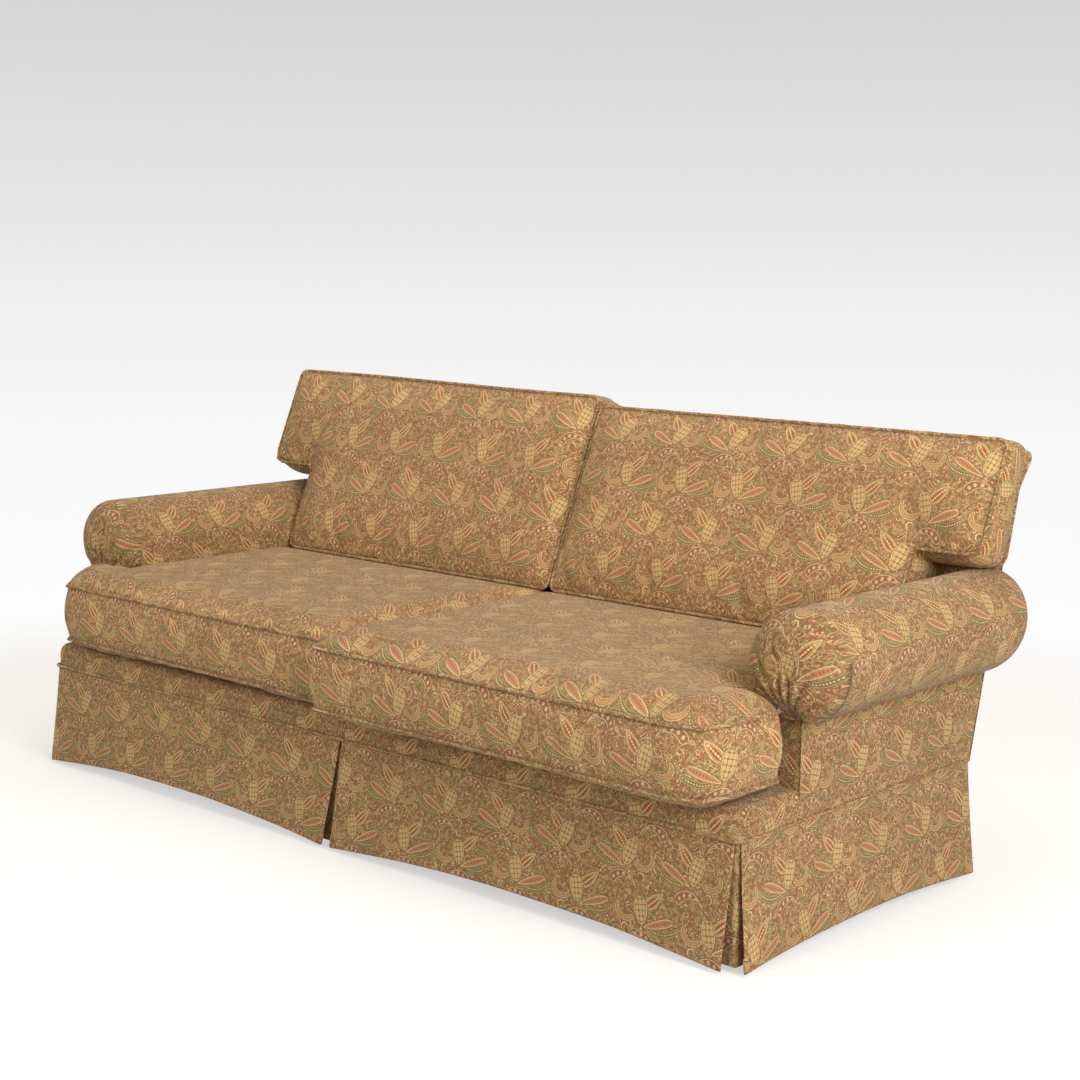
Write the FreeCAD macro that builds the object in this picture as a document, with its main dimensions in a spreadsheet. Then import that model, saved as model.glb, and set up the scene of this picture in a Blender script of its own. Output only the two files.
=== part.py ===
"""English roll arm sofa: a sprung hardwood frame, padded arms and back, loose cushions and a skirt.

The origin is on the floor under the middle of the sofa. The front looks along -Y, +Z is up and
right means +X. Lengths are millimetres and angles are degrees.
"""

import FreeCAD, Part
import math
import os
import re

import Sketcher
from FreeCAD import Vector

# Driving sizes
SIZES = {
    # Overall
    "overall_width": 2280,
    "overall_depth": 1035,
    "arm_overhang": 100,
    "base_depth": 792,
    "cushion_reach": 93,
    "fit_gap": 0.3,
    # Legs and seat frame
    "leg_top": 120,
    "leg_wide": 60,
    "leg_foot": 45,
    "leg_inset": 7,
    "glide_radius": 15,
    "glide_height": 8,
    "glide_sides": 8,
    "rail_height": 130,
    "rail_thick": 28,
    "cover": 8,
    "block_size": 130,
    "block_height": 40,
    "bolt_radius": 4,
    "bolt_bury": 55,
    "nut_width": 13,
    "nut_height": 7,
    "stretcher_rise": 175,
    "stretcher_height": 65,
    "stretcher_spacing": 520,
    "dust_cover_thick": 1.5,
    # Seat springs and deck
    "spring_count": 12,
    "spring_inset": 80,
    "spring_wire": 4,
    "spring_wide": 46,
    "spring_pitch": 74,
    "clip_height": 8,
    "clip_length": 20,
    "clip_width": 30,
    "tie_spacing": 240,
    "hessian_thick": 2,
    "deck_height": 300,
    "deck_cover": 6,
    "edge_roll_deep": 46,
    "edge_radius": 26,
    "seam_height": 243,
    # Arms
    "arm_setback": 182,
    "arm_height": 637,
    "roll_radius": 105,
    "arm_cover": 6,
    "arm_pad_thick": 14,
    "arm_dome": 62,
    "arm_dome_rise": 24,
    "arm_dome_sides": 24,
    "stump_thick": 25,
    "arm_rail_wide": 60,
    "arm_rail_thick": 25,
    "arm_rail_drop": 42,
    "outer_rail_height": 42,
    "stuff_rail_height": 45,
    "stuff_rail_rise": 18,
    # Back
    "back_rake": 14.6,
    "back_top": 785,
    "back_thick": 60,
    "back_panel_thick": 6,
    "back_board": 28,
    "back_cover": 6,
    "back_edge_radius": 18,
    "post_width": 82,
    "centre_post_width": 45,
    "top_rail_height": 60,
    "low_rail_start": 70,
    "low_rail_height": 50,
    "webbing_thick": 1.5,
    "webbing_width": 50,
    "webbing_pitch": 150,
    # Skirt
    "skirt_thick": 5,
    "skirt_flare": 20,
    "skirt_bow": 10,
    "hem_height": 5,
    "hem_arch": 26,
    "pleat_gap": 12,
    "pleat_spread": 26,
    "underlay_width": 110,
    "underlay_hem": 12,
    # Seat cushions
    "seat_split": 3,
    "seat_reach_left": 34,
    "seat_side_gap": 4,
    "seat_ear_side": 10,
    "seat_ear_back": 8,
    "seat_ear_lean": 26,
    "seat_low_seam": 325,
    "seat_top_seam": 455,
    "seat_crown": 495,
    "seat_crown_run": 75,
    "seat_rest_run": 26,
    "seat_foot_run": 34,
    "seat_boxing_bulge": 8,
    "seat_front_corner": 70,
    "seat_wrap": 40,
    # Back cushions
    "back_cushion_seat": 478,
    "back_cushion_foot": 147,
    "back_cushion_seam": 905,
    "back_cushion_rise_left": 30,
    "back_cushion_rake": 23.2,
    "back_cushion_top_deep": 106,
    "back_cushion_crown": 30,
    "back_cushion_ear": 1085,
    "back_cushion_ear_drop": 675,
    "back_ear_inset": 2,
    "back_cushion_wrap": 28,
    "back_core_crown": 12,
}

# Places worked out from the sizes
PLACES = {
    "front_face": "-overall_depth / 2 + cushion_reach",
    "rear_face": "front_face + base_depth",
    "half_base": "overall_width / 2 - arm_overhang",
    "rail_side": "half_base - cover",
    "rail_front": "front_face + cover",
    "rail_rear": "rear_face - cover",
    "rail_top": "leg_top + rail_height",
    "inner_side": "rail_side - rail_thick",
    "inner_front": "rail_front + rail_thick",
    "inner_rear": "rail_rear - rail_thick",
    "roll_side": "overall_width / 2 - roll_radius",
    "roll_level": "arm_height - roll_radius",
    "arm_inside": "roll_side - roll_radius",
    "arm_front": "front_face + arm_setback",
    "tuck_level": "roll_level - sqrt(roll_radius * roll_radius - (half_base - roll_side) ^ 2)",
    "inside_top": "back_top + back_thick * sin(back_rake)",
    "rake_run": "(back_top - seam_height) / cos(back_rake)",
    "post_inside": "rail_side - post_width",
    "stump_front": "arm_front + arm_cover + arm_cover",
    "stump_rear": "stump_front + stump_thick",
    "leg_side": "rail_side - leg_inset - leg_wide / 2",
    "leg_front": "rail_front + leg_inset + leg_wide / 2",
    "leg_rear": "rail_rear - leg_inset - leg_wide / 2",
    "spring_spread": "2 * (post_inside - spring_inset)",
    "spring_level": "rail_top + clip_height",
    "spring_top": "spring_level + spring_wire",
    "hessian_top": "spring_top + hessian_thick",
    "deck_under": "deck_height - deck_cover",
    "pad_side": "arm_inside - fit_gap",
    "split_side": "seat_split / 2",
    "cushion_side": "arm_inside - seat_side_gap",
    "back_cushion_front": "rear_face - back_cushion_foot",
    "underlay_thick": "cover - skirt_thick",
}

RIGHT, LEFT = 1, -1
SIDES = (("left", LEFT), ("right", RIGHT))

# Shares that shape the stuffed forms: how far forward each ring of an arm's dome stands, how far a
# back cushion's sides are drawn in, and how much of its crown each section of it has
DOME_RINGS = (0, 0.4, 0.74, 0.96)
EDGE_SHARE = 0.35
TOP_DROP_SHARE = 0.3
MAIN_SPANS = (0.35, 0.7)
MAIN_CROWNS = (0.2, 0.5, 1, 1, 0.6, 0.5)
EAR_CROWNS = (0.5, 0.4, 0.3, 0.1)

doc = FreeCAD.newDocument("RollArmSofa")
sizes = doc.addObject("Spreadsheet::Sheet", "Sizes")
for row, (name, number) in enumerate(SIZES.items(), 1):
    sizes.set(f"A{row}", name)
    sizes.set(f"B{row}", str(number))
    sizes.setAlias(f"B{row}", name)
doc.recompute()


def formula(text):
    """Point each named size or place in a formula at the sheet that holds it."""

    def sheet_name(word):
        name = word.group(0)
        if name in SIZES:
            return "Sizes." + name
        return "Places." + name if name in PLACES else name

    return re.sub(r"[A-Za-z_]\w*", sheet_name, text)


places = doc.addObject("Spreadsheet::Sheet", "Places")
for row, (name, text) in enumerate(PLACES.items(), 1):
    places.set(f"A{row}", name)
    places.set(f"B{row}", "=" + formula(text).replace("Places.", ""))
    places.setAlias(f"B{row}", name)
doc.recompute()


def size(name):
    """Read one size or place from its sheet."""
    return float(getattr(sizes if name in SIZES else places, name))


def bind(item, **formulas):
    """Bind the properties of an item to formulas, with __ for the dots of a longer path."""
    for path, text in formulas.items():
        item.setExpression(path.replace("__", "."), formula(str(text)))
    return item


def place(item, x="0", y="0", z="0"):
    """Bind the place of an item's own origin."""
    return bind(item, Placement__Base__x=x, Placement__Base__y=y, Placement__Base__z=z)


# The sub-parts that are written out, by label
subparts = {}


def keep(item, label):
    """Give an item the name of its sub-part and list it for writing."""
    item.Label = label
    subparts[label] = item
    return item


def board(name, x, y, z, length, depth, height):
    """Make a straight board from its low corner and its three sizes."""
    item = doc.addObject("Part::Box", name)
    bind(item, Length=length, Width=depth, Height=height)
    return place(item, x, y, z)


def side_board(name, side, x, y, z, length, depth, height):
    """Make a board at its place on the right, or mirrored to the left."""
    low = x if side == RIGHT else f"-({x}) - ({length})"
    return board(name, low, y, z, length, depth, height)


def raked_board(name, x, length, out, thick, start, run):
    """Make a board parallel to the raked back, measured inwards and up along the back's face."""
    item = doc.addObject("Part::Box", name)
    bind(item, Length=length, Width=thick, Height=run)
    depth = f"(({out}) + ({thick}))"
    rise = f"({start})"
    place(
        item,
        x,
        f"rear_face - {depth} * cos(back_rake) + {rise} * sin(back_rake)",
        f"seam_height + {depth} * sin(back_rake) + {rise} * cos(back_rake)",
    )
    item.Placement.Rotation = FreeCAD.Rotation(Vector(-1, 0, 0), size("back_rake"))
    return bind(item, Placement__Rotation__Angle="back_rake")


def cylinder(name, x, y, z, radius, height):
    """Make an upright cylinder on the middle of its foot."""
    item = doc.addObject("Part::Cylinder", name)
    bind(item, Radius=radius, Height=height)
    return place(item, x, y, z)


def join(name, *items):
    """Join several items."""
    item = doc.addObject("Part::MultiFuse", name)
    item.Shapes = list(items)
    return item


def group(name, *items):
    """Keep several separate solids together as one sub-part."""
    item = doc.addObject("Part::Compound", name)
    item.Links = list(items)
    return item


def cut(name, base, *tools):
    """Take one or more items away from a base."""
    for number, tool in enumerate(tools):
        item = doc.addObject("Part::Cut", f"{name}_{number}" if number else name)
        item.Base = base
        item.Tool = tool
        base = item
    return base


def shaped(label, shape):
    """Keep a shape made in code as a sub-part."""
    item = doc.addObject("Part::Feature", label)
    item.Shape = shape
    return keep(item, label)


# Shapes made in code


def block(low, high):
    """Make a box from its low and high corners."""
    span = Vector(*high) - Vector(*low)
    return Part.makeBox(span.x, span.y, span.z, Vector(*low))


def mirror(shape):
    """Mirror a shape from the right of the sofa to the left."""
    return shape.mirror(Vector(0, 0, 0), Vector(1, 0, 0))


def sided(shape, side):
    """Return a right-hand shape for its side."""
    return shape if side == RIGHT else mirror(shape)


def arc(start, middle, end):
    """Make an arc edge through three points."""
    return Part.Arc(start, middle, end).toShape()


def line(start, end):
    """Make a straight edge."""
    return Part.LineSegment(start, end).toShape()


def rounded_outline(corners, level):
    """Make a level closed wire from corners of x, y and radius, sharp where the radius is 0."""
    edges = []
    count = len(corners)
    spans = []
    for index, (x, y, radius) in enumerate(corners):
        here = Vector(x, y, level)
        before = Vector(*corners[index - 1][:2], level) - here
        after = Vector(*corners[(index + 1) % count][:2], level) - here
        before.normalize()
        after.normalize()
        bisector = before + after
        bisector.normalize()
        half = before.getAngle(after) / 2
        reach = radius / math.tan(half)
        middle = here + bisector * (radius / math.sin(half) - radius)
        spans.append((here + before * reach, middle, here + after * reach))
    for index, (start, middle, end) in enumerate(spans):
        if corners[index][2]:
            edges.append(arc(start, middle, end))
        edges.append(line(end, spans[(index + 1) % count][0]))
    return Part.Wire(edges)


def raked_frame():
    """Return the placement whose Y runs out through the back's face and Z up along it."""
    corner = Vector(0, size("rear_face"), size("seam_height"))
    return FreeCAD.Placement(corner, FreeCAD.Rotation(Vector(1, 0, 0), -size("back_rake")))


def raked_block(x_low, x_high, out, deep, start, end):
    """Make a box parallel to the raked back, from out to deep inwards of its face."""
    shape = block((x_low, -deep, start), (x_high, -out, end))
    shape.Placement = raked_frame()
    return shape


def behind_back(out):
    """Make everything behind the plane that lies out inwards of the back's face."""
    wide = size("overall_width")
    return raked_block(-wide, wide, out - wide, out, -wide, wide)


# Seat frame


def make_legs():
    """Make the six tapered legs, drilled for their bolts, with glides, blocks and bolts."""
    spots = []
    for name, y in (("front", "leg_front"), ("rear", "leg_rear")):
        spots.append((f"leg_{name}_left", "-leg_side", y))
        spots.append((f"leg_{name}_centre", "0", y))
        spots.append((f"leg_{name}_right", "leg_side", y))
    glides = []
    bolts = []
    for label, x, y in spots:
        body = doc.addObject("PartDesign::Body", label + "_body")
        plane = next(p for p in body.Origin.OriginFeatures if p.Role == "XY_Plane")
        taper = body.newObject("PartDesign::AdditiveWedge", label + "_taper")
        taper.Placement.Rotation = FreeCAD.Rotation(Vector(1, 0, 0), 90)
        foot, top = "leg_foot / 2", "leg_wide / 2"
        bind(taper, Ymin="glide_height", Ymax="leg_top", Xmin="-" + foot, Xmax=foot)
        bind(taper, Zmin="-" + foot, Zmax=foot, X2min="-" + top, X2max=top)
        bind(taper, Z2min="-" + top, Z2max=top)
        hole = bolt_sketch(body, plane, label + "_hole")
        bore = body.newObject("PartDesign::Pocket", label + "_bore")
        bore.Profile = hole
        bind(bore, Length="bolt_bury + fit_gap")
        place(body, x, y)
        keep(body, label)
        glide = doc.addObject("Part::Prism", label + "_glide")
        glide.Polygon = int(size("glide_sides"))
        bind(glide, Circumradius="glide_radius", Height="glide_height")
        glides.append(place(glide, x, y))
        shank = cylinder(
            label + "_shank", x, y, "leg_top - bolt_bury", "bolt_radius",
            "bolt_bury + block_height + nut_height",
        )
        nut = doc.addObject("Part::Prism", label + "_nut")
        bind(nut, Circumradius="nut_width / 2 / cos(30)", Height="nut_height")
        place(nut, x, y, "leg_top + block_height")
        bolts.append(join(label + "_bolt", shank, nut))
    keep(group("Glides", *glides), "leg_glides")
    keep(group("Bolts", *bolts), "leg_bolts")
    make_blocks(spots)


def bolt_sketch(body, plane, name):
    """Sketch the bolt's hole on the top of a leg."""
    sketch = body.newObject("Sketcher::SketchObject", name)
    sketch.AttachmentSupport = [(plane, "")]
    sketch.MapMode = "FlatFace"
    bind(sketch, AttachmentOffset__Base__z="leg_top")
    radius = size("bolt_radius") + size("fit_gap")
    sketch.addGeometry(Part.Circle(Vector(0, 0, 0), Vector(0, 0, 1), radius))
    sketch.addConstraint(Sketcher.Constraint("Coincident", 0, 3, -1, 1))
    number = sketch.addConstraint(Sketcher.Constraint("Radius", 0, radius))
    sketch.setExpression(f"Constraints[{number}]", formula("bolt_radius + fit_gap"))
    return sketch


def make_blocks(spots):
    """Make the glue blocks over the legs, three-cornered at the corners, with bolt holes."""
    low, height = size("leg_top"), size("block_height")
    reach, gap = size("block_size"), size("fit_gap")
    x, front, rear = size("inner_side"), size("inner_front"), size("inner_rear")
    blocks = []
    for y, step in ((front, 1), (rear, -1)):
        for side in (LEFT, RIGHT):
            corner = Vector(side * x, y, low)
            points = [corner, corner - Vector(side * reach, 0, 0), corner + Vector(0, step * reach, 0)]
            face = Part.Face(Part.makePolygon(points + [corner]))
            blocks.append(face.extrude(Vector(0, 0, height)))
        low_y, high_y = sorted((y, y + step * reach / 2))
        blocks.append(block((-reach / 2, low_y, low), (reach / 2, high_y, low + height)))
    for _, x_formula, y_formula in spots:
        side = {"-leg_side": LEFT, "0": 0, "leg_side": RIGHT}[x_formula]
        centre = Vector(side * size("leg_side"), size(y_formula), low)
        hole = Part.makeCylinder(size("bolt_radius") + gap, height, centre)
        blocks = [item.cut(hole) for item in blocks]
    shaped("leg_blocks", Part.makeCompound([solid for item in blocks for solid in item.Solids]))


def make_rails():
    """Make the four seat rails and the stretchers between the front and back rails."""
    rail = ("leg_top", "2 * rail_side", "rail_thick", "rail_height")
    keep(board("FrontRail", "-rail_side", "rail_front", *rail), "front_rail")
    keep(board("BackRail", "-rail_side", "inner_rear", *rail), "back_rail")
    run = "inner_rear - inner_front"
    for name, side in SIDES:
        item = side_board(
            f"SideRail_{name}", side, "inner_side", "inner_front", "leg_top",
            "rail_thick", run, "rail_height",
        )
        keep(item, "side_rail_" + name)
    stretchers = []
    for number, share in enumerate((-1, 0, 1)):
        x = f"{share} * stretcher_spacing - rail_thick / 2"
        stretchers.append(
            board(
                f"Stretcher_{number}", x, "inner_front", "stretcher_rise",
                "rail_thick", run, "stretcher_height",
            )
        )
    keep(group("Stretchers", *stretchers), "seat_stretchers")


def make_dust_cover():
    """Make the cloth under the frame, cut out around the legs."""
    edge = "rail_thick / 2"
    sheet = board(
        "DustSheet", f"-rail_side + {edge}", f"rail_front + {edge}", "leg_top - dust_cover_thick",
        f"2 * rail_side - 2 * {edge}", f"rail_rear - rail_front - 2 * {edge}", "dust_cover_thick",
    )
    holes = []
    for x in ("-leg_side", "0", "leg_side"):
        for y in ("leg_front", "leg_rear"):
            holes.append(
                board(
                    f"LegHole_{len(holes)}", f"{x} - leg_wide / 2 - fit_gap",
                    f"{y} - leg_wide / 2 - fit_gap", "leg_top - 2 * dust_cover_thick",
                    "leg_wide + 2 * fit_gap", "leg_wide + 2 * fit_gap", "4 * dust_cover_thick",
                )
            )
    keep(cut("DustCover", sheet, join("LegHoles", *holes)), "dust_cover")


# Springs and deck


def make_springs():
    """Make the zigzag seat springs, their clips and the two tie rods under them."""
    count = int(size("spring_count"))
    wire, wide, pitch = size("spring_wire"), size("spring_wide"), size("spring_pitch")
    start = size("rail_front") + size("rail_thick") / 2
    end = size("rail_rear") - size("rail_thick") / 2
    bars = int((end - start) // pitch)
    step = (end - start) / bars
    level = size("spring_level")
    springs = []
    clips = []
    clip_long, clip_wide = size("clip_length"), size("clip_width")
    for number in range(count):
        x = (number / (count - 1) - 0.5) * size("spring_spread")
        bends = []
        for bar in range(bars + 1):
            side = 1 if bar % 2 else -1
            y = start + bar * step
            bends.append(Vector(x - side * wide / 2, y, level))
            bends.append(Vector(x + side * wide / 2, y, level))
        springs.append(flat_wire(bends, wire))
        for y in (start, end):
            clips.append(
                block(
                    (x - clip_wide / 2, y - clip_long / 2, size("rail_top")),
                    (x + clip_wide / 2, y + clip_long / 2, level),
                )
            )
    shaped("seat_springs", Part.makeCompound(springs))
    shaped("spring_clips", Part.makeCompound(clips))
    ties = []
    spread = "spring_spread + spring_wide"
    for number, share in enumerate((-1, 1)):
        y = f"(rail_front + rail_rear) / 2 + {share} * tie_spacing / 2 - spring_wire / 2"
        ties.append(
            board(
                f"Tie_{number}", f"-({spread}) / 2", y, "spring_level - spring_wire",
                spread, "spring_wire", "spring_wire",
            )
        )
    keep(group("Ties", *ties), "spring_ties")


def flat_wire(bends, wire):
    """Make a square wire along level bends that turn a right angle each."""
    half = wire / 2
    left = []
    right = []
    count = len(bends)
    for index, point in enumerate(bends):
        before = point - bends[index - 1] if index else bends[1] - point
        after = bends[index + 1] - point if index < count - 1 else before
        before.normalize()
        after.normalize()
        normal_before = Vector(-before.y, before.x, 0)
        normal_after = Vector(-after.y, after.x, 0)
        offset = normal_before * half
        if index in (0, count - 1):
            offset = offset + before * (half if index else -half)
            left.append(point + offset)
            right.append(point + offset - normal_before * wire)
        else:
            offset = offset + normal_after * half
            left.append(point + offset)
            right.append(point - offset)
    outline = left + right[::-1]
    return Part.Face(Part.makePolygon(outline + [outline[0]])).extrude(Vector(0, 0, wire))


def deck_form(inset, top):
    """Make the rounded front of the deck, inset from the cover's face, up to a top level."""
    side, front = size("half_base") - inset, size("front_face") + inset
    form = block(
        (-side, front, size("seam_height")), (side, size("arm_front") - size("fit_gap"), top)
    )
    radius = size("edge_radius") - inset
    edges = []
    for edge in form.Edges:
        box = edge.BoundBox
        at_top = box.ZMin > top - 1
        at_rear = box.YMin > front + 1
        if at_top and not at_rear:
            edges.append(edge)
    return form.makeFillet(radius, edges)


def make_deck():
    """Make the hessian, the deck pad, the front edge roll and the cover over them."""
    gap = size("fit_gap")
    front, top = size("front_face"), size("deck_height")
    under, cover = size("deck_under"), size("cover")
    pad_side, rear = size("pad_side"), inside_back_line(size("rail_top"))
    arm_front = size("arm_front") - gap
    roll_end = front + size("edge_roll_deep")
    keep(
        board(
            "Hessian", "-pad_side", "rail_front + fit_gap", "spring_top",
            "2 * pad_side", "inner_rear - rail_front - rail_thick", "hessian_thick",
        ),
        "spring_hessian",
    )
    outer = deck_form(0, top)
    inner = deck_form(cover, under)
    sheet_rear = inside_back_line(top) - gap
    sheet = block((-pad_side, arm_front - cover, under), (pad_side, sheet_rear, top))
    shaped("platform_cover", outer.cut(inner).fuse(sheet).removeSplitter())
    roll = deck_form(cover + gap, under - gap)
    rail_side = size("rail_side")
    hessian_top = size("hessian_top")
    roll_space = block((-rail_side, front, hessian_top), (rail_side, roll_end, top))
    shaped("front_edge_roll", roll.common(roll_space))
    ear_side = rail_side - (size("edge_radius") - cover)
    ears = block(
        (-ear_side, roll_end + gap, hessian_top), (ear_side, arm_front, under - gap)
    )
    middle = block((-pad_side, arm_front, hessian_top), (pad_side, rear - gap, under - gap))
    shaped("deck_pad", ears.fuse(middle).removeSplitter())


# Arms


def arm_profile(offset, y):
    """Make the closed arm profile, upright inside face, roll and tuck, inset by an offset."""
    radius = size("roll_radius") - offset
    centre = Vector(size("roll_side"), y, size("roll_level"))
    low = size("rail_top")
    wall = size("rail_side")
    drop = math.sqrt(radius * radius - (wall - centre.x) ** 2)
    inside = Vector(centre.x - radius, y, centre.z)
    top = Vector(centre.x, y, centre.z + radius)
    outside = Vector(centre.x + radius, y, centre.z)
    tuck = Vector(wall, y, centre.z - drop)
    slant = radius * math.sqrt(0.5)
    edges = [
        line(Vector(inside.x, y, low), inside),
        arc(inside, centre + Vector(-slant, 0, slant), top),
        arc(top, centre + Vector(slant, 0, slant), outside),
        arc(outside, centre + Vector(slant, 0, -slant), tuck),
        line(tuck, Vector(wall, y, low)),
        line(Vector(wall, y, low), Vector(inside.x, y, low)),
    ]
    return Part.Wire(edges)


def arm_dome(offset):
    """Make the stuffed, pleated front of the roll as a dome that rises as it comes forward."""
    radius, depth = size("roll_radius") - offset, size("arm_dome") - offset
    front = size("arm_front")
    sides = int(size("arm_dome_sides"))
    turns = [2 * math.pi * side / sides for side in range(sides)]
    spokes = [Vector(math.cos(turn), 0, math.sin(turn)) for turn in turns]
    rings = []
    for share in DOME_RINGS:
        ring = radius * math.sqrt(1 - share * share)
        lift = size("arm_dome_rise") * share * share
        y = front - depth * share if share else front + offset
        centre = Vector(size("roll_side"), y, size("roll_level") + lift)
        corners = [centre + spoke * ring for spoke in spokes]
        rings.append(Part.makePolygon(corners + corners[:1]))
    return Part.makeLoft(rings, True, True)


def arm_form(offset, front, dome=True):
    """Make the whole arm, inset by an offset, from its front to the raked back."""
    length = size("base_depth")
    form = Part.Face(arm_profile(offset, front)).extrude(Vector(0, length, 0))
    if dome:
        form = form.fuse(arm_dome(offset))
    return form.cut(behind_back(offset))


def make_arms():
    """Make both arms: the timber, the padding, the rolled cover and the outside panel."""
    front, cover, gap = size("arm_front"), size("arm_cover"), size("fit_gap")
    hollow = cover + size("arm_pad_thick")
    stump_front, stump_rear = size("stump_front"), size("stump_rear")
    outer = arm_form(0, front)
    inner = arm_form(cover, front + cover, dome=False)
    pad_form = arm_form(cover + gap, front + cover + gap, dome=False)
    timber_form = arm_form(hollow, stump_front, dome=False)
    panel_space = raked_block(
        -size("half_base"), size("half_base"), 0, size("back_panel_thick"), -size("seam_height"),
        size("rake_run"),
    )
    posts = raked_block(
        size("post_inside"), size("half_base"), size("back_panel_thick"),
        size("back_panel_thick") + size("back_board"), 0, size("rake_run"),
    )
    low_rails = raked_block(
        0, size("post_inside"), size("back_panel_thick"),
        size("back_panel_thick") + size("back_board"), size("low_rail_start"),
        size("low_rail_start") + size("low_rail_height"),
    )
    cover_shape = outer.cut(inner)
    pad_shape = pad_form.cut(timber_form)
    for space in (panel_space, posts, low_rails):
        cover_shape = cover_shape.cut(space)
        pad_shape = pad_shape.cut(space)
    wide = size("overall_width")
    slab = block((0, stump_front, size("rail_top")), (wide, stump_rear, size("arm_height")))
    low_x = size("arm_inside") + hollow
    leg = block(
        (low_x, stump_front, size("leg_top")), (size("inner_side"), stump_rear, size("rail_top"))
    )
    stump_shape = timber_form.common(slab).fuse(leg).removeSplitter()
    for name, side in SIDES:
        shaped("arm_cover_" + name, sided(cover_shape, side))
        shaped("arm_pad_" + name, sided(pad_shape, side))
        shaped("arm_stump_" + name, sided(stump_shape, side))
        make_arm_rails(name, side)
        make_arm_panel(name, side)


def make_arm_rails(name, side):
    """Make the three rails that run from the stump to the back post."""
    end = cut_plane("PostPlane_" + name, "back_panel_thick + back_board")
    run = "base_depth"
    rails = (
        (
            "arm_top_rail", "roll_side - arm_rail_wide / 2",
            "arm_height - arm_cover - arm_pad_thick - arm_rail_drop",
            "arm_rail_wide", "arm_rail_thick",
        ),
        (
            "arm_outer_rail", "rail_side - arm_rail_thick", "tuck_level - outer_rail_height",
            "arm_rail_thick", "outer_rail_height",
        ),
        (
            "arm_stuff_rail", "post_inside", "deck_height + stuff_rail_rise",
            "arm_rail_thick", "stuff_rail_height",
        ),
    )
    for label, x, z, length, height in rails:
        blank = side_board(f"{label}_{name}_blank", side, x, "stump_rear", z, length, run, height)
        keep(cut(f"{label}_{name}_cut", blank, end), f"{label}_{name}")


def cut_plane(name, out):
    """Make a tool that takes away everything behind a plane parallel to the back's face."""
    return raked_board(
        name, "-overall_width", "2 * overall_width", f"{out} - overall_width", "overall_width",
        "-overall_width", "2 * overall_width",
    )


def make_arm_panel(name, side):
    """Make the flat outside panel of an arm, from the skirt seam up to the tuck of the roll."""
    blank = side_board(
        f"ArmPanel_{name}", side, "rail_side", "arm_front", "seam_height",
        "cover", "base_depth", "tuck_level - fit_gap - seam_height",
    )
    end = cut_plane("PanelPlane_" + name, "back_panel_thick")
    keep(cut(f"ArmPanelCut_{name}", blank, end), "outside_arm_" + name)


# Back


def inside_back_line(level):
    """Return how far back the inside face of the back lies at a level."""
    rake = math.radians(size("back_rake"))
    run = (level - size("seam_height")) * math.tan(rake)
    return size("rear_face") + run - size("back_thick") / math.cos(rake)


def make_back_timber():
    """Make the back posts, the centre post and the rails between them."""
    floor = board(
        "BelowRails", "-overall_width", "-overall_depth", "0",
        "2 * overall_width", "2 * overall_depth", "rail_top",
    )
    post_run = "rake_run - back_cover - top_rail_height"
    for name, side in SIDES:
        low = "post_inside" if side == RIGHT else "-rail_side"
        blank = raked_board(
            "PostBlank_" + name, low, "post_width", "back_panel_thick", "back_board",
            "-back_thick", f"{post_run} + back_thick",
        )
        keep(cut("Post_" + name, blank, floor), "back_post_" + name)
    centre = raked_board(
        "CentrePostBlank", "-centre_post_width / 2", "centre_post_width",
        "back_panel_thick", "back_board", "-back_thick", f"{post_run} + back_thick",
    )
    keep(cut("CentrePost", centre, floor), "back_centre_post")
    top = raked_board(
        "TopRail", "-rail_side", "2 * rail_side", "back_panel_thick", "back_board",
        post_run, "top_rail_height",
    )
    keep(top, "back_top_rail")
    lows = []
    length = "post_inside - centre_post_width / 2"
    for name, low in (("left", "-post_inside"), ("right", "centre_post_width / 2")):
        lows.append(
            raked_board(
                "LowRail_" + name, low, length, "back_panel_thick", "back_board",
                "low_rail_start", "low_rail_height",
            )
        )
    keep(group("LowRails", *lows), "back_low_rails")


def make_webbing():
    """Make the upright webbing straps between the low and top rails."""
    out = size("back_panel_thick") + size("back_board")
    deep = out + size("webbing_thick")
    start = size("low_rail_start")
    end = size("rake_run") - size("back_cover") - size("top_rail_height") / 2
    half = size("webbing_width") / 2
    count = int((size("post_inside") - half) // size("webbing_pitch"))
    straps = []
    for number in range(-count, count + 1):
        x = number * size("webbing_pitch")
        straps.append(raked_block(x - half, x + half, out, deep, start, end))
    shaped("back_webbing", Part.makeCompound(straps))


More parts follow.
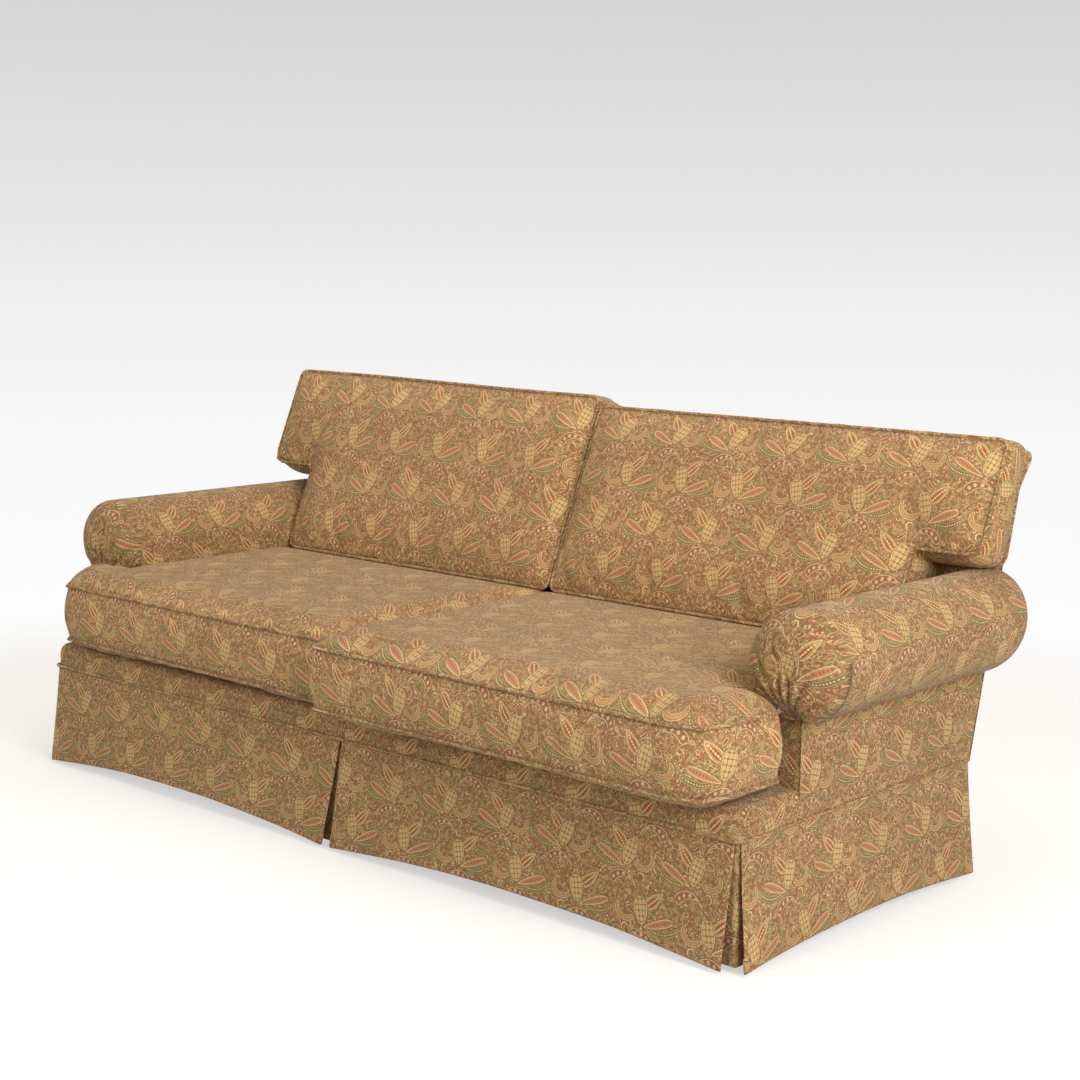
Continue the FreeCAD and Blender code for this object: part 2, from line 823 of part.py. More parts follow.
def make_back_cloth():
    """Make the outside back panel, the back pad and the inside back cover."""
    gap, half = size("fit_gap"), size("half_base")
    run, panel = size("rake_run"), size("back_panel_thick")
    cover, thick = size("back_cover"), size("back_thick")
    keep(
        raked_board(
            "OutsideBack", "-half_base", "2 * half_base", "0", "back_panel_thick", "0", "rake_run"
        ),
        "outside_back",
    )
    outer = raked_block(-half, half, panel, thick, 0, run)
    edges = []
    for edge in outer.Edges:
        spot = raked_frame().inverse().multVec(edge.CenterOfMass)
        at_front = spot.y < -thick + 1
        at_top = spot.z > run - 1
        at_side = abs(spot.x) > half - 1
        if at_front and (at_top or at_side) or (at_top and at_side):
            edges.append(edge)
    outer = outer.makeFillet(size("back_edge_radius"), edges)
    inner = raked_block(-half + cover, half - cover, panel, thick - cover, -thick, run - cover)
    wide, deep = size("overall_width"), size("overall_depth")
    above_arm = size("arm_height") + gap
    notches = [block((-wide, -deep, 0), (wide, deep, size("deck_height") + gap))]
    arm = block((size("pad_side"), -deep, 0), (wide, deep, above_arm))
    notches += [arm, mirror(arm)]
    cover_shape = outer.cut(inner)
    board_out = panel + size("back_board") + size("webbing_thick") + gap
    pad_shape = raked_block(
        -half + cover + gap, half - cover - gap, board_out, thick - cover - gap, 0, run - cover - gap
    )
    for notch in notches:
        cover_shape = cover_shape.cut(notch)
        pad_shape = pad_shape.cut(notch)
    shaped("inside_back_cover", cover_shape)
    shaped("back_pad", pad_shape)


# Skirt


def skirt_panel(start, end, spread_start, spread_end):
    """Make one skirt panel along +X with its face on Y = 0, its top at the seam and an arched hem."""
    top, hem = size("seam_height"), 0.0
    thick, flare, bow = size("skirt_thick"), size("skirt_flare"), size("skirt_bow")
    low_start, low_end = start - spread_start, end + spread_end
    middle = (start + end) / 2
    upper = Part.makePolygon(
        [
            Vector(start, 0, top), Vector(end, 0, top),
            Vector(end, thick, top), Vector(start, thick, top), Vector(start, 0, top),
        ]
    )
    front = (
        Vector(low_start, -flare, hem), Vector(middle, bow - flare, hem), Vector(low_end, -flare, hem)
    )
    rear = [point + Vector(0, thick, 0) for point in front]
    lower = Part.Wire(
        [arc(*front), line(front[2], rear[2]), arc(rear[2], rear[1], rear[0]), line(rear[0], front[0])]
    )
    panel = Part.makeLoft([upper, lower], True, True)
    ends = size("hem_height")
    reach = 2 * flare
    arch = [
        line(Vector(low_start - reach, 0, ends), Vector(low_start, 0, ends)),
        arc(
            Vector(low_start, 0, ends), Vector(middle, 0, size("hem_arch")), Vector(low_end, 0, ends)
        ),
        line(Vector(low_end, 0, ends), Vector(low_end + reach, 0, ends)),
        line(Vector(low_end + reach, 0, ends), Vector(low_end + reach, 0, -ends)),
        line(Vector(low_end + reach, 0, -ends), Vector(low_start - reach, 0, -ends)),
        line(Vector(low_start - reach, 0, -ends), Vector(low_start - reach, 0, ends)),
    ]
    cutter = Part.Face(Part.Wire(arch)).extrude(Vector(0, 4 * reach, 0))
    cutter.translate(Vector(0, -2 * reach, 0))
    return panel.cut(cutter)


def turned(shape, x, y, angle):
    """Turn a shape about the upright through the origin and set it down at x and y."""
    shape = shape.copy()
    shape.Placement = FreeCAD.Placement(Vector(x, y, 0), FreeCAD.Rotation(Vector(0, 0, 1), angle))
    return shape


def make_skirt():
    """Make the five skirt panels and the underlays behind the pleats."""
    half, gap = size("half_base"), size("pleat_gap") / 2
    front, rear = size("front_face"), size("rear_face")
    spread = size("pleat_spread") / 2
    right = skirt_panel(gap, half - gap, -spread, 0)
    shaped("skirt_front_right", turned(right, 0, front, 0))
    shaped("skirt_front_left", mirror(turned(right, 0, front, 0)))
    depth = rear - front
    side = skirt_panel(gap, depth - gap, 0, 0)
    shaped("skirt_side_right", turned(side, half, front, 90))
    shaped("skirt_side_left", mirror(turned(side, half, front, 90)))
    back = skirt_panel(-half + gap, half - gap, 0, 0)
    shaped("skirt_back", turned(back, 0, rear, 180))
    out, thick = size("skirt_thick"), size("underlay_thick")
    reach, hem, top = size("underlay_width"), size("underlay_hem"), size("seam_height")
    x_out, x_in = half - out, half - out - thick
    underlays = [block((-reach, front + out, hem), (reach, front + out + thick, top))]
    for y, step in ((front, 1), (rear, -1)):
        near, far = sorted((y + step * out, y + step * (out + reach)))
        face, back_face = sorted((y + step * out, y + step * (out + thick)))
        along = block((x_out - reach, face, hem), (x_out, back_face, top))
        across = block((x_in, near, hem), (x_out, far, top))
        corner = along.fuse(across).removeSplitter()
        underlays += [corner, mirror(corner)]
    shaped("pleat_underlays", Part.makeCompound(underlays))


# Cushions


def seat_outline(reach, inset, lean, y_rear, level):
    """Make the L-shaped outline of a seat cushion at a level, inset at the front and sides."""
    x_split, x_main = size("split_side"), size("cushion_side")
    x_ear = size("half_base") - size("seat_ear_side")
    y_front = size("front_face") - reach
    y_ear = size("arm_front") - size("seat_ear_back") - lean
    corner = size("seat_front_corner")
    small = corner / 4
    corners = [
        (x_split + inset, y_front + inset, max(small - inset, small / 2)),
        (x_ear - inset, y_front + inset, max(corner - inset, small / 2)),
        (x_ear - inset, y_ear - inset, max(small - inset, small / 2)),
        (x_main - inset, y_ear - inset, small),
        (x_main - inset, y_rear, 0),
        (x_split + inset, y_rear, 0),
    ]
    return rounded_outline(corners, level)


def make_seat_cushions():
    """Make the two seat cushions, each with its core."""
    gap, bulge = size("fit_gap"), size("seat_boxing_bulge")
    deck, crown = size("deck_height"), size("seat_crown")
    low, top = size("seat_low_seam"), size("seat_top_seam")
    run, lean, foot = size("seat_crown_run"), size("seat_ear_lean"), size("seat_foot_run")
    wrap = size("seat_wrap")
    rear = inside_back_line(deck) - gap
    rest = size("back_cushion_front")
    levels = [
        (foot, 0, rear - foot, deck + gap),
        (bulge, 0, rear - bulge, low),
        (0, lean / 2, rear, (low + top) / 2),
        (bulge, lean, rear - bulge, top),
        (size("seat_rest_run"), lean, rest, size("back_cushion_seat") - gap),
        (run, lean, rest - run, crown),
    ]
    for name, side in SIDES:
        reach = size("cushion_reach") if side == RIGHT else size("seat_reach_left")
        form = Part.makeLoft([seat_outline(reach, *level) for level in levels], True, True)
        core_low, core_top = low + wrap / 4, top - wrap / 4
        hollow = Part.makeLoft(
            [
                seat_outline(reach, wrap, lean, rear - wrap, level)
                for level in (core_low, core_top)
            ],
            True,
            True,
        )
        core = Part.makeLoft(
            [
                seat_outline(reach, wrap + gap, lean, rear - wrap - gap, level)
                for level in (core_low + gap, core_top - gap)
            ],
            True,
            True,
        )
        shaped("seat_cushion_" + name, sided(form.cut(hollow), side))
        shaped("seat_core_" + name, sided(core, side))


def back_section(x, shrink, crown, rise, ear):
    """Make the upright section of a back cushion at x, drawn in by a shrink."""
    gap = size("fit_gap")
    seat, seam = size("back_cushion_seat"), size("back_cushion_seam") + rise
    lean = math.tan(math.radians(size("back_cushion_rake")))
    base = size("back_cushion_front")
    deep = size("back_cushion_top_deep")
    above = size("inside_top") + gap
    low = size("back_cushion_ear_drop") if ear else seat
    low_rear = size("arm_height") + gap if ear else seat
    front_low = Vector(x, base + (low - seat) * lean, low)
    front_top = Vector(x, base + (seam - seat) * lean, seam)
    rear_top = Vector(
        x, min(front_top.y + deep, size("overall_depth") / 2), seam - deep * TOP_DROP_SHARE
    )
    rear_rest = Vector(x, inside_back_line(above) - gap, above)
    rear_low = Vector(x, inside_back_line(low_rear) - gap, low_rear)
    points = [front_low, front_top, rear_top, rear_rest, rear_low]
    centre = (front_low + front_top + rear_rest) * (1 / 3)
    drawn = []
    for point in points:
        inward = centre - point
        inward.normalize()
        drawn.append(point + inward * shrink)
    front_low, front_top, rear_top, rear_rest, rear_low = drawn
    face = front_top - front_low
    normal = Vector(0, -face.z, face.y)
    normal.normalize()
    bulge = (front_low + front_top) * 0.5 + normal * crown
    edges = [
        arc(front_low, bulge, front_top),
        line(front_top, rear_top),
        line(rear_top, rear_rest),
        line(rear_rest, rear_low),
        line(rear_low, front_low),
    ]
    return Part.Wire(edges)


def back_form(shrink, rise):
    """Make the whole of a back cushion, its main part joined to the ear over the arm."""
    crown = size("back_cushion_crown")
    start, end = size("split_side"), size("cushion_side")
    ear_end = size("back_cushion_ear")
    edge, corner = crown * EDGE_SHARE, crown
    main = [
        (start + shrink, edge),
        (start + shrink + corner, 0),
        ((start + end) * MAIN_SPANS[0], 0),
        ((start + end) * MAIN_SPANS[1], 0),
        (end - shrink - corner, 0),
        (end - shrink, edge / 2),
    ]
    ear = [
        (end - shrink - corner / 2, size("back_ear_inset")),
        (ear_end - shrink - corner, 0),
        (ear_end - shrink - corner / 3, edge / 2),
        (ear_end - shrink, edge * 2),
    ]
    pieces = []
    for stations, crowns, over_arm in ((main, MAIN_CROWNS, False), (ear, EAR_CROWNS, True)):
        wires = []
        for (x, inset), share in zip(stations, crowns):
            wires.append(back_section(x, inset + shrink, crown * share, rise, over_arm))
        pieces.append(Part.makeLoft(wires, True, True))
    return pieces[0].fuse(pieces[1]).removeSplitter()


def make_back_cushions():
    """Make the two back cushions, each with its core."""
    wrap, gap = size("back_cushion_wrap"), size("fit_gap")
    start, end = size("split_side"), size("cushion_side")
    for name, side in SIDES:
        rise = 0 if side == RIGHT else size("back_cushion_rise_left")
        form = back_form(0, rise)
        cores = []
        for inset in (wrap, wrap + gap):
            wires = [
                back_section(x, inset, size("back_core_crown"), rise, False)
                for x in (start + inset, end - inset)
            ]
            cores.append(Part.makeLoft(wires, True, True))
        shaped("back_cushion_" + name, sided(form.cut(cores[0]), side))
        shaped("back_core_" + name, sided(cores[1], side))


make_legs()
make_rails()
make_dust_cover()
make_springs()
make_deck()
make_arms()
make_back_timber()
make_webbing()
make_back_cloth()
make_skirt()
make_seat_cushions()
make_back_cushions()
doc.recompute()

# Check each sub-part and write it
for item in doc.Objects:
    if "Invalid" in item.State or "Error" in item.State:
        raise RuntimeError(f"{item.Label} did not build: {item.State}")
os.makedirs("parts", exist_ok=True)
for label, item in subparts.items():
    shape = item.Shape
    if shape.isNull() or not shape.isValid() or not shape.Solids:
        raise RuntimeError(f"{label} has no sound shape")
    shape.exportStep(f"parts/{label}.step")
print(f"{len(subparts)} sub-parts written")
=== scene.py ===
"""English roll arm sofa in woven paisley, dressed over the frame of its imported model."""
from __future__ import annotations

import heapq
import logging
import math
from dataclasses import dataclass, field
from enum import Enum
from typing import Callable, Iterable, Sequence

import bpy
import numpy as np
from mathutils import Matrix, Vector, noise
from mathutils.geometry import delaunay_2d_cdt


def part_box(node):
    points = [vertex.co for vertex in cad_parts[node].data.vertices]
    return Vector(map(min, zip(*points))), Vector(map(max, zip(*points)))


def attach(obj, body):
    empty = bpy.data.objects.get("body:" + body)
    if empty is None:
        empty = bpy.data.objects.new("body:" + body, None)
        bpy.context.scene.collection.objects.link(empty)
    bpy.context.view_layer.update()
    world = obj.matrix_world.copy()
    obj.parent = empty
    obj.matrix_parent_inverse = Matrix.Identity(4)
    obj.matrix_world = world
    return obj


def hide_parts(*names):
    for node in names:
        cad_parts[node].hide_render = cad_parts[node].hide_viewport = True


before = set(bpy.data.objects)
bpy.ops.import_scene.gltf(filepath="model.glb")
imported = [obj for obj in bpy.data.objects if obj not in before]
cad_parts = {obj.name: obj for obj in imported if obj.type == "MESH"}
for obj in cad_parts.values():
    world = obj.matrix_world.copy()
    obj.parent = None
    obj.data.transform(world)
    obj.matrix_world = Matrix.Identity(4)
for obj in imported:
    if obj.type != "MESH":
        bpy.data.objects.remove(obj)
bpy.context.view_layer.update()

LOG = logging.getLogger("sofa")
Flat = tuple[float, float]
Tint = tuple[float, float, float]
Socket = bpy.types.NodeSocket
Material = bpy.types.Material
Tree = bpy.types.NodeTree
Piece = bpy.types.Object
PHOTO_SIZE = 1080
REPEAT_WIDE = 0.155
REPEAT_TALL = 0.215
RAKE = 0.2605
"""How far the back leans for each metre of height."""
ARM_FACE = -0.2425
"""Where the arms' covers end in front of their domes."""
ARM_LINE = 0.9305
"""How far the arms' inner faces stand from the middle."""
HALF_WIDTH = 1.04
CLEAR = 0.009
# The seam distance of a place that neither seam dirt nor painted seam and fold shade darkens.
"""The seam distance of a place that no seam or fold darkens."""


class Side(Enum):
    """Which end of the sofa a piece belongs to, seen from the front."""

    LEFT = -1
    RIGHT = 1

    @property
    def word(self) -> str:
        """Return the side's word in piece names."""
        return self.name.lower()


# Curves and outlines


def smooth_step(low: float, high: float, value: float) -> float:
    """Rise smoothly from 0 at low to 1 at high.

    Args:
        low: where the rise starts.
        high: where it ends.
        value: the place asked for.

    Returns:
        A number from 0 to 1.
    """
    share = min(max((value - low) / (high - low), 0.0), 1.0)
    return share * share * (3.0 - 2.0 * share)


def mixed(first: float, second: float, share: float) -> float:
    """Return the value that lies share of the way from first to second."""
    return first + (second - first) * share


def ripple(place: Vector, size: float, seed: float) -> float:
    """Give a smooth random height from -1 to 1 at a place.

    Args:
        place: the point asked for, in metres.
        size: the length of one wave, in metres.
        seed: shifts the pattern.

    Returns:
        The height.
    """
    return noise.noise(Vector((place.x / size + seed, place.y / size - seed, place.z / size + 2.0 * seed)))


def outward_normals(flat: Sequence[Vector]) -> list[Vector]:
    """Return the outward direction at each point of a closed, counter-clockwise outline."""
    total = len(flat)
    found = []
    for number in range(total):
        along = flat[(number + 1) % total] - flat[number - 1]
        found.append(Vector((along.y, -along.x)).normalized())
    return found


def lengths_along(line: Sequence[Vector] | Sequence[Flat], closed: bool = False) -> list[float]:
    """Return how far along a line each of its points lies, and the whole length last where it closes."""
    ends = [*line[1:], line[0]] if closed else line[1:]
    found = [0.0]
    for here, there in zip(line, ends):
        found.append(found[-1] + math.dist(here, there))
    return found


@dataclass
class Corner:
    """A corner of an outline, with the radius that rounds it."""

    place: Flat
    radius: float = 0.0


@dataclass
class Outline:
    """A closed outline with rounded corners, walked counter-clockwise."""

    corners: list[Corner]
    cell: float = 0.012

    def counts(self) -> list[int]:
        """Return how many points each side gets."""
        total = len(self.corners)
        found = []
        for number in range(total):
            here = Vector(self.corners[number].place)
            there = Vector(self.corners[(number + 1) % total].place)
            found.append(max(2, round((there - here).length / self.cell)))
        return found

    def points(self, counts: Sequence[int] | None = None) -> list[Vector]:
        """Walk the outline.

        Args:
            counts: points on each side, where another outline has to match this one.

        Returns:
            The outline's points in the plane.
        """
        counts = counts or self.counts()
        total = len(self.corners)
        around: list[Vector] = []
        for number, count in enumerate(counts):
            start = self._arc(number)
            end = self._arc((number + 1) % total)
            arc_steps = max(1, count // 8) if self.corners[number].radius > 0 else 1
            for step in range(arc_steps):
                around.append(self._on_arc(start, (step + 1) / arc_steps))
            leg_start = self._on_arc(start, 1.0)
            leg_end = self._on_arc(end, 0.0)
            legs = count - arc_steps
            for step in range(1, legs + 1):
                around.append(leg_start.lerp(leg_end, step / legs))
        return around

    def _arc(self, number: int) -> tuple[Vector, Vector, Vector]:
        """Return where a corner's rounding starts, its corner, and where it ends."""
        total = len(self.corners)
        corner = self.corners[number]
        here = Vector(corner.place)
        before = Vector(self.corners[number - 1].place)
        after = Vector(self.corners[(number + 1) % total].place)
        into = (before - here).normalized()
        out = (after - here).normalized()
        return here + into * corner.radius, here, here + out * corner.radius

    @staticmethod
    def _on_arc(arc: tuple[Vector, Vector, Vector], share: float) -> Vector:
        """Return a point on a corner's rounding, from 0 at its start to 1 at its end."""
        start, corner, end = arc
        return start * (1 - share) ** 2 + corner * (2 * share * (1 - share)) + end * share**2


# Meshes


@dataclass
class Panelwork:
    """Cloth panels sewn along shared points, with the cloth's own coordinates in metres."""

    points: list[Vector] = field(default_factory=list)
    faces: list[tuple[int, ...]] = field(default_factory=list)
    cloth: list[list[Flat]] = field(default_factory=list)
    seam: dict[int, float] = field(default_factory=dict)
    finishes: list[int] = field(default_factory=list)

    def add_points(self, places: Iterable[Vector]) -> list[int]:
        """Add points.

        Args:
            places: where they are.

        Returns:
            Their numbers.
        """
        first = len(self.points)
        self.points.extend(Vector(place) for place in places)
        return list(range(first, len(self.points)))

    def add_line(self, start: Vector, end: Vector, steps: int) -> list[int]:
        """Add an even row of points from start to end and return their numbers."""
        return self.add_points(start.lerp(end, step / steps) for step in range(steps + 1))

    def laid(self, rows: Sequence[Sequence[int]], across: int = 0, up: int = 2) -> Callable[[int, int], Flat]:
        """Return a reader of cloth coordinates that takes two of the points' own axes."""

        def read(row: int, column: int) -> Flat:
            """Return the two coordinates of one point."""
            place = self.points[rows[row][column]]
            return place[across], place[up]

        return read

    def add_fan(
        self, rim: Sequence[int], hub: int, across: int = 0, up: int = 2, turned: bool = False
    ) -> None:
        """Join a row of points to one hub, with the cloth read off two of the points' own axes."""
        for pair in zip(rim, rim[1:]):
            trio = [*pair, hub]
            if turned:
                trio.reverse()
            self.add_face(trio, [(self.points[spot][across], self.points[spot][up]) for spot in trio])

    def add_face(self, numbers: Sequence[int], cloth: Sequence[Flat], finish: int = 0) -> None:
        """Add one face with its cloth coordinates."""
        self.faces.append(tuple(numbers))
        self.cloth.append([(float(u), float(v)) for u, v in cloth])
        self.finishes.append(finish)

    def add_rows(
        self,
        rows: Sequence[Sequence[int]],
        cloth: Callable[[int, int], Flat],
        closed: bool = False,
        turned: bool = False,
        finish: int = 0,
    ) -> None:
        """Join rows of points with four-sided faces.

        Args:
            rows: point numbers, row by row, all rows of one length.
            cloth: the cloth coordinates of a row and column.
            closed: True where each row closes on itself.
            turned: True to turn the faces over.
            finish: which of the piece's finishes the faces take.
        """
        for row in range(len(rows) - 1):
            width = len(rows[row])
            for column in range(width if closed else width - 1):
                after = (column + 1) % width
                ring = [
                    (rows[row][column], cloth(row, column)),
                    (rows[row][after], cloth(row, column + 1)),
                    (rows[row + 1][after], cloth(row + 1, column + 1)),
                    (rows[row + 1][column], cloth(row + 1, column)),
                ]
                if turned:
                    ring.reverse()
                self.add_face([number for number, _ in ring], [spot for _, spot in ring], finish)

    def add_filled(
        self,
        rim: Sequence[int],
        outline: Sequence[Vector],
        cell: float,
        place: Callable[[Vector, float], Vector],
        turned: bool = False,
    ) -> None:
        """Fill an outline with an even net of faces that share the rim's points.

        Args:
            rim: numbers of the rim's points, which exist already.
            outline: the rim in the panel's own plane, counter-clockwise.
            cell: the size of the net.
            place: turns a point of the plane, and its distance from the rim, into a place.
            turned: True to turn the faces over.
        """
        flat = [Vector(point).to_2d() for point in outline]
        inside = self._net(flat, cell)
        spots = flat + inside
        found = delaunay_2d_cdt(spots, [], [list(range(len(flat)))], 1, 1e-7)
        made_spots, _, made_faces, origins = found[:4]
        places = np.array([tuple(spot) for spot in made_spots])
        distances = rim_distances(places, np.array([tuple(spot) for spot in flat]))
        numbers: list[int] = []
        for spot, origin, distance in zip(made_spots, origins, distances):
            source = origin[0] if origin else -1
            if 0 <= source < len(rim):
                numbers.append(rim[source])
                continue
            numbers += self.add_points([place(spot, float(distance))])
        for face in self._paired(made_spots, made_faces):
            ring = list(reversed(face)) if turned else list(face)
            self.add_face([numbers[corner] for corner in ring], [made_spots[corner] for corner in ring])

    @staticmethod
    def _net(flat: Sequence[Vector], cell: float) -> list[Vector]:
        """Return the net's points that lie well inside an outline."""
        rim = np.array([tuple(point) for point in flat])
        low = rim.min(axis=0)
        high = rim.max(axis=0)
        across, along = (max(2, round(float(size) / cell)) for size in high - low)
        columns = np.linspace(low[0], high[0], across + 1)[1:-1]
        rows = np.linspace(low[1], high[1], along + 1)[1:-1]
        grid = np.array([(x, y) for y in rows for x in columns])
        kept = grid[inside_outline(grid, rim) & (rim_distances(grid, rim) > cell * 0.55)]
        return [Vector((float(x), float(y))) for x, y in kept]

    @staticmethod
    def _paired(spots: Sequence[Vector], faces: Sequence[Sequence[int]]) -> list[tuple[int, ...]]:
        """Pair triangles into four-sided faces where their shared side is the long one."""
        by_edge: dict[tuple[int, int], list[int]] = {}
        for number, face in enumerate(faces):
            if len(face) != 3:
                continue
            for corner in range(3):
                pair = (face[corner], face[(corner + 1) % 3])
                by_edge.setdefault((min(pair), max(pair)), []).append(number)
        ranked = sorted(
            (edge for edge, both in by_edge.items() if len(both) == 2),
            key=lambda edge: -(Vector(spots[edge[0]]) - Vector(spots[edge[1]])).length,
        )
        used: set[int] = set()
        joined: list[tuple[int, ...]] = []
        for edge in ranked:
            first, second = by_edge[edge]
            if first in used or second in used:
                continue
            quad = Panelwork._quad(faces[first], faces[second], edge)
            if not Panelwork._good(spots, quad):
                continue
            used.update((first, second))
            joined.append(quad)
        joined.extend(tuple(face) for number, face in enumerate(faces) if number not in used)
        return joined

    @staticmethod
    def _quad(first: Sequence[int], second: Sequence[int], edge: tuple[int, int]) -> tuple[int, ...]:
        """Return the ring of two triangles that share an edge."""
        other = next(corner for corner in second if corner not in edge)
        ring: list[int] = []
        for corner in range(3):
            here, there = first[corner], first[(corner + 1) % 3]
            ring.append(here)
            if here in edge and there in edge:
                ring.append(other)
        return tuple(ring)

    @staticmethod
    def _good(spots: Sequence[Vector], quad: Sequence[int]) -> bool:
        """Return True where a four-sided face is close enough to square."""
        for corner in range(4):
            here = Vector(spots[quad[corner]])
            before = Vector(spots[quad[corner - 1]]) - here
            after = Vector(spots[quad[(corner + 1) % 4]]) - here
            if before.length < 1e-6 or after.length < 1e-6:
                return False
            if abs(before.normalized().dot(after.normalized())) > 0.5:
                return False
            if after.x * before.y - after.y * before.x <= 0:
                return False
        return True

    def mark_seams(self, loops: Iterable[Sequence[int]], reach: float = 0.09) -> None:
        """Note each point's distance to the nearest seam, walking along the faces' edges."""
        near: dict[int, set[int]] = {}
        for face in self.faces:
            for corner, number in enumerate(face):
                other = face[(corner + 1) % len(face)]
                near.setdefault(number, set()).add(other)
                near.setdefault(other, set()).add(number)
        queue = [(0.0, number) for loop in loops for number in loop]
        heapq.heapify(queue)
        done: dict[int, float] = {}
        while queue:
            distance, number = heapq.heappop(queue)
            if number in done or distance > reach:
                continue
            done[number] = distance
            for other in near.get(number, ()):
                if other not in done:
                    step = (self.points[other] - self.points[number]).length
                    heapq.heappush(queue, (distance + step, other))
        self.seam = {number: done.get(number, reach) for number in range(len(self.points))}

    def mirror(self) -> None:
        """Turn the work into its mirror image across the middle of the sofa, its cloth kept the right way."""
        self.points = [Vector((-point.x, point.y, point.z)) for point in self.points]
        self.faces = [tuple(reversed(face)) for face in self.faces]
        self.cloth = [list(reversed(ring)) for ring in self.cloth]

    def shift_cloth(self, u: float, v: float, flip: float = 1.0) -> None:
        """Move the cloth under the pattern, and turn its first coordinate over where flip is -1."""
        self.cloth = [[(flip * spot[0] + u, spot[1] + v) for spot in ring] for ring in self.cloth]

    def build(self, name: str, finishes: Sequence[Material]) -> Piece:
        """Make the piece.

        Args:
            name: the piece's name.
            finishes: its materials, in the order that the faces number them.

        Returns:
            The new object, linked to the scene.
        """
        mesh = bpy.data.meshes.new(name)
        mesh.from_pydata([tuple(point) for point in self.points], [], self.faces)
        layer = mesh.uv_layers.new(name="Cloth")
        flat = [value for ring in self.cloth for spot in ring for value in spot]
        layer.data.foreach_set("uv", flat)
        mesh.polygons.foreach_set("material_index", self.finishes)
        mesh.polygons.foreach_set("use_smooth", [True] * len(self.faces))
        marks = mesh.attributes.new("seam_distance", "FLOAT", "POINT")
        marks.data.foreach_set("value", [self.seam.get(number, CLEAR) for number in range(len(self.points))])
        piece = bpy.data.objects.new(name, mesh)
        bpy.context.scene.collection.objects.link(piece)
        for finish in finishes:
            mesh.materials.append(finish)
        mesh.update()
        return piece


def inside_outline(spots: np.ndarray, rim: np.ndarray) -> np.ndarray:
    """Tell which spots of the plane lie inside an outline.

    Args:
        spots: the spots, one in a row.
        rim: the outline's points, one in a row.

    Returns:
        True for each spot inside.
    """
    inside = np.zeros(len(spots), dtype=bool)
    for here, before in zip(rim, np.roll(rim, 1, axis=0)):
        if here[1] == before[1]:
            continue
        spans = (here[1] > spots[:, 1]) != (before[1] > spots[:, 1])
        crossing = (before[0] - here[0]) * (spots[:, 1] - here[1]) / (before[1] - here[1]) + here[0]
        inside ^= spans & (spots[:, 0] < crossing)
    return inside


def rim_distances(spots: np.ndarray, rim: np.ndarray) -> np.ndarray:
    """Measure how far spots of the plane lie from the nearest side of an outline.

    Args:
        spots: the spots, one in a row.
        rim: the outline's points, one in a row.

    Returns:
        The distances.
    """
    best = np.full(len(spots), 9.0)
    for here, before in zip(rim, np.roll(rim, 1, axis=0)):
        side = here - before
        length = float(side @ side)
        if length == 0:
            continue
        share = np.clip(((spots - before) @ side) / length, 0.0, 1.0)
        away = np.linalg.norm(spots - before - share[:, None] * side, axis=1)
        best = np.minimum(best, away)
    return best


def refined(piece: Piece) -> Piece:
    """Subdivide a piece once and keep the result as its mesh.

    Args:
        piece: the piece to refine.

    Returns:
        The same piece.
    """
    step = piece.modifiers.new("Smooth", "SUBSURF")
    step.levels = 1
    step.render_levels = 1
    step.boundary_smooth = "PRESERVE_CORNERS"
    return applied(piece)


def applied(piece: Piece) -> Piece:
    """Replace a piece's mesh by what its modifiers make of it.

    Args:
        piece: the piece with modifiers.

    Returns:
        The same piece, with none left.
    """
    graph = bpy.context.evaluated_depsgraph_get()
    final = piece.evaluated_get(graph)
    made = bpy.data.meshes.new_from_object(final, preserve_all_data_layers=True, depsgraph=graph)
    old = piece.data
    piece.modifiers.clear()
    piece.data = made
    bpy.data.meshes.remove(old)
    made.name = piece.name
    return piece


# Shader tools


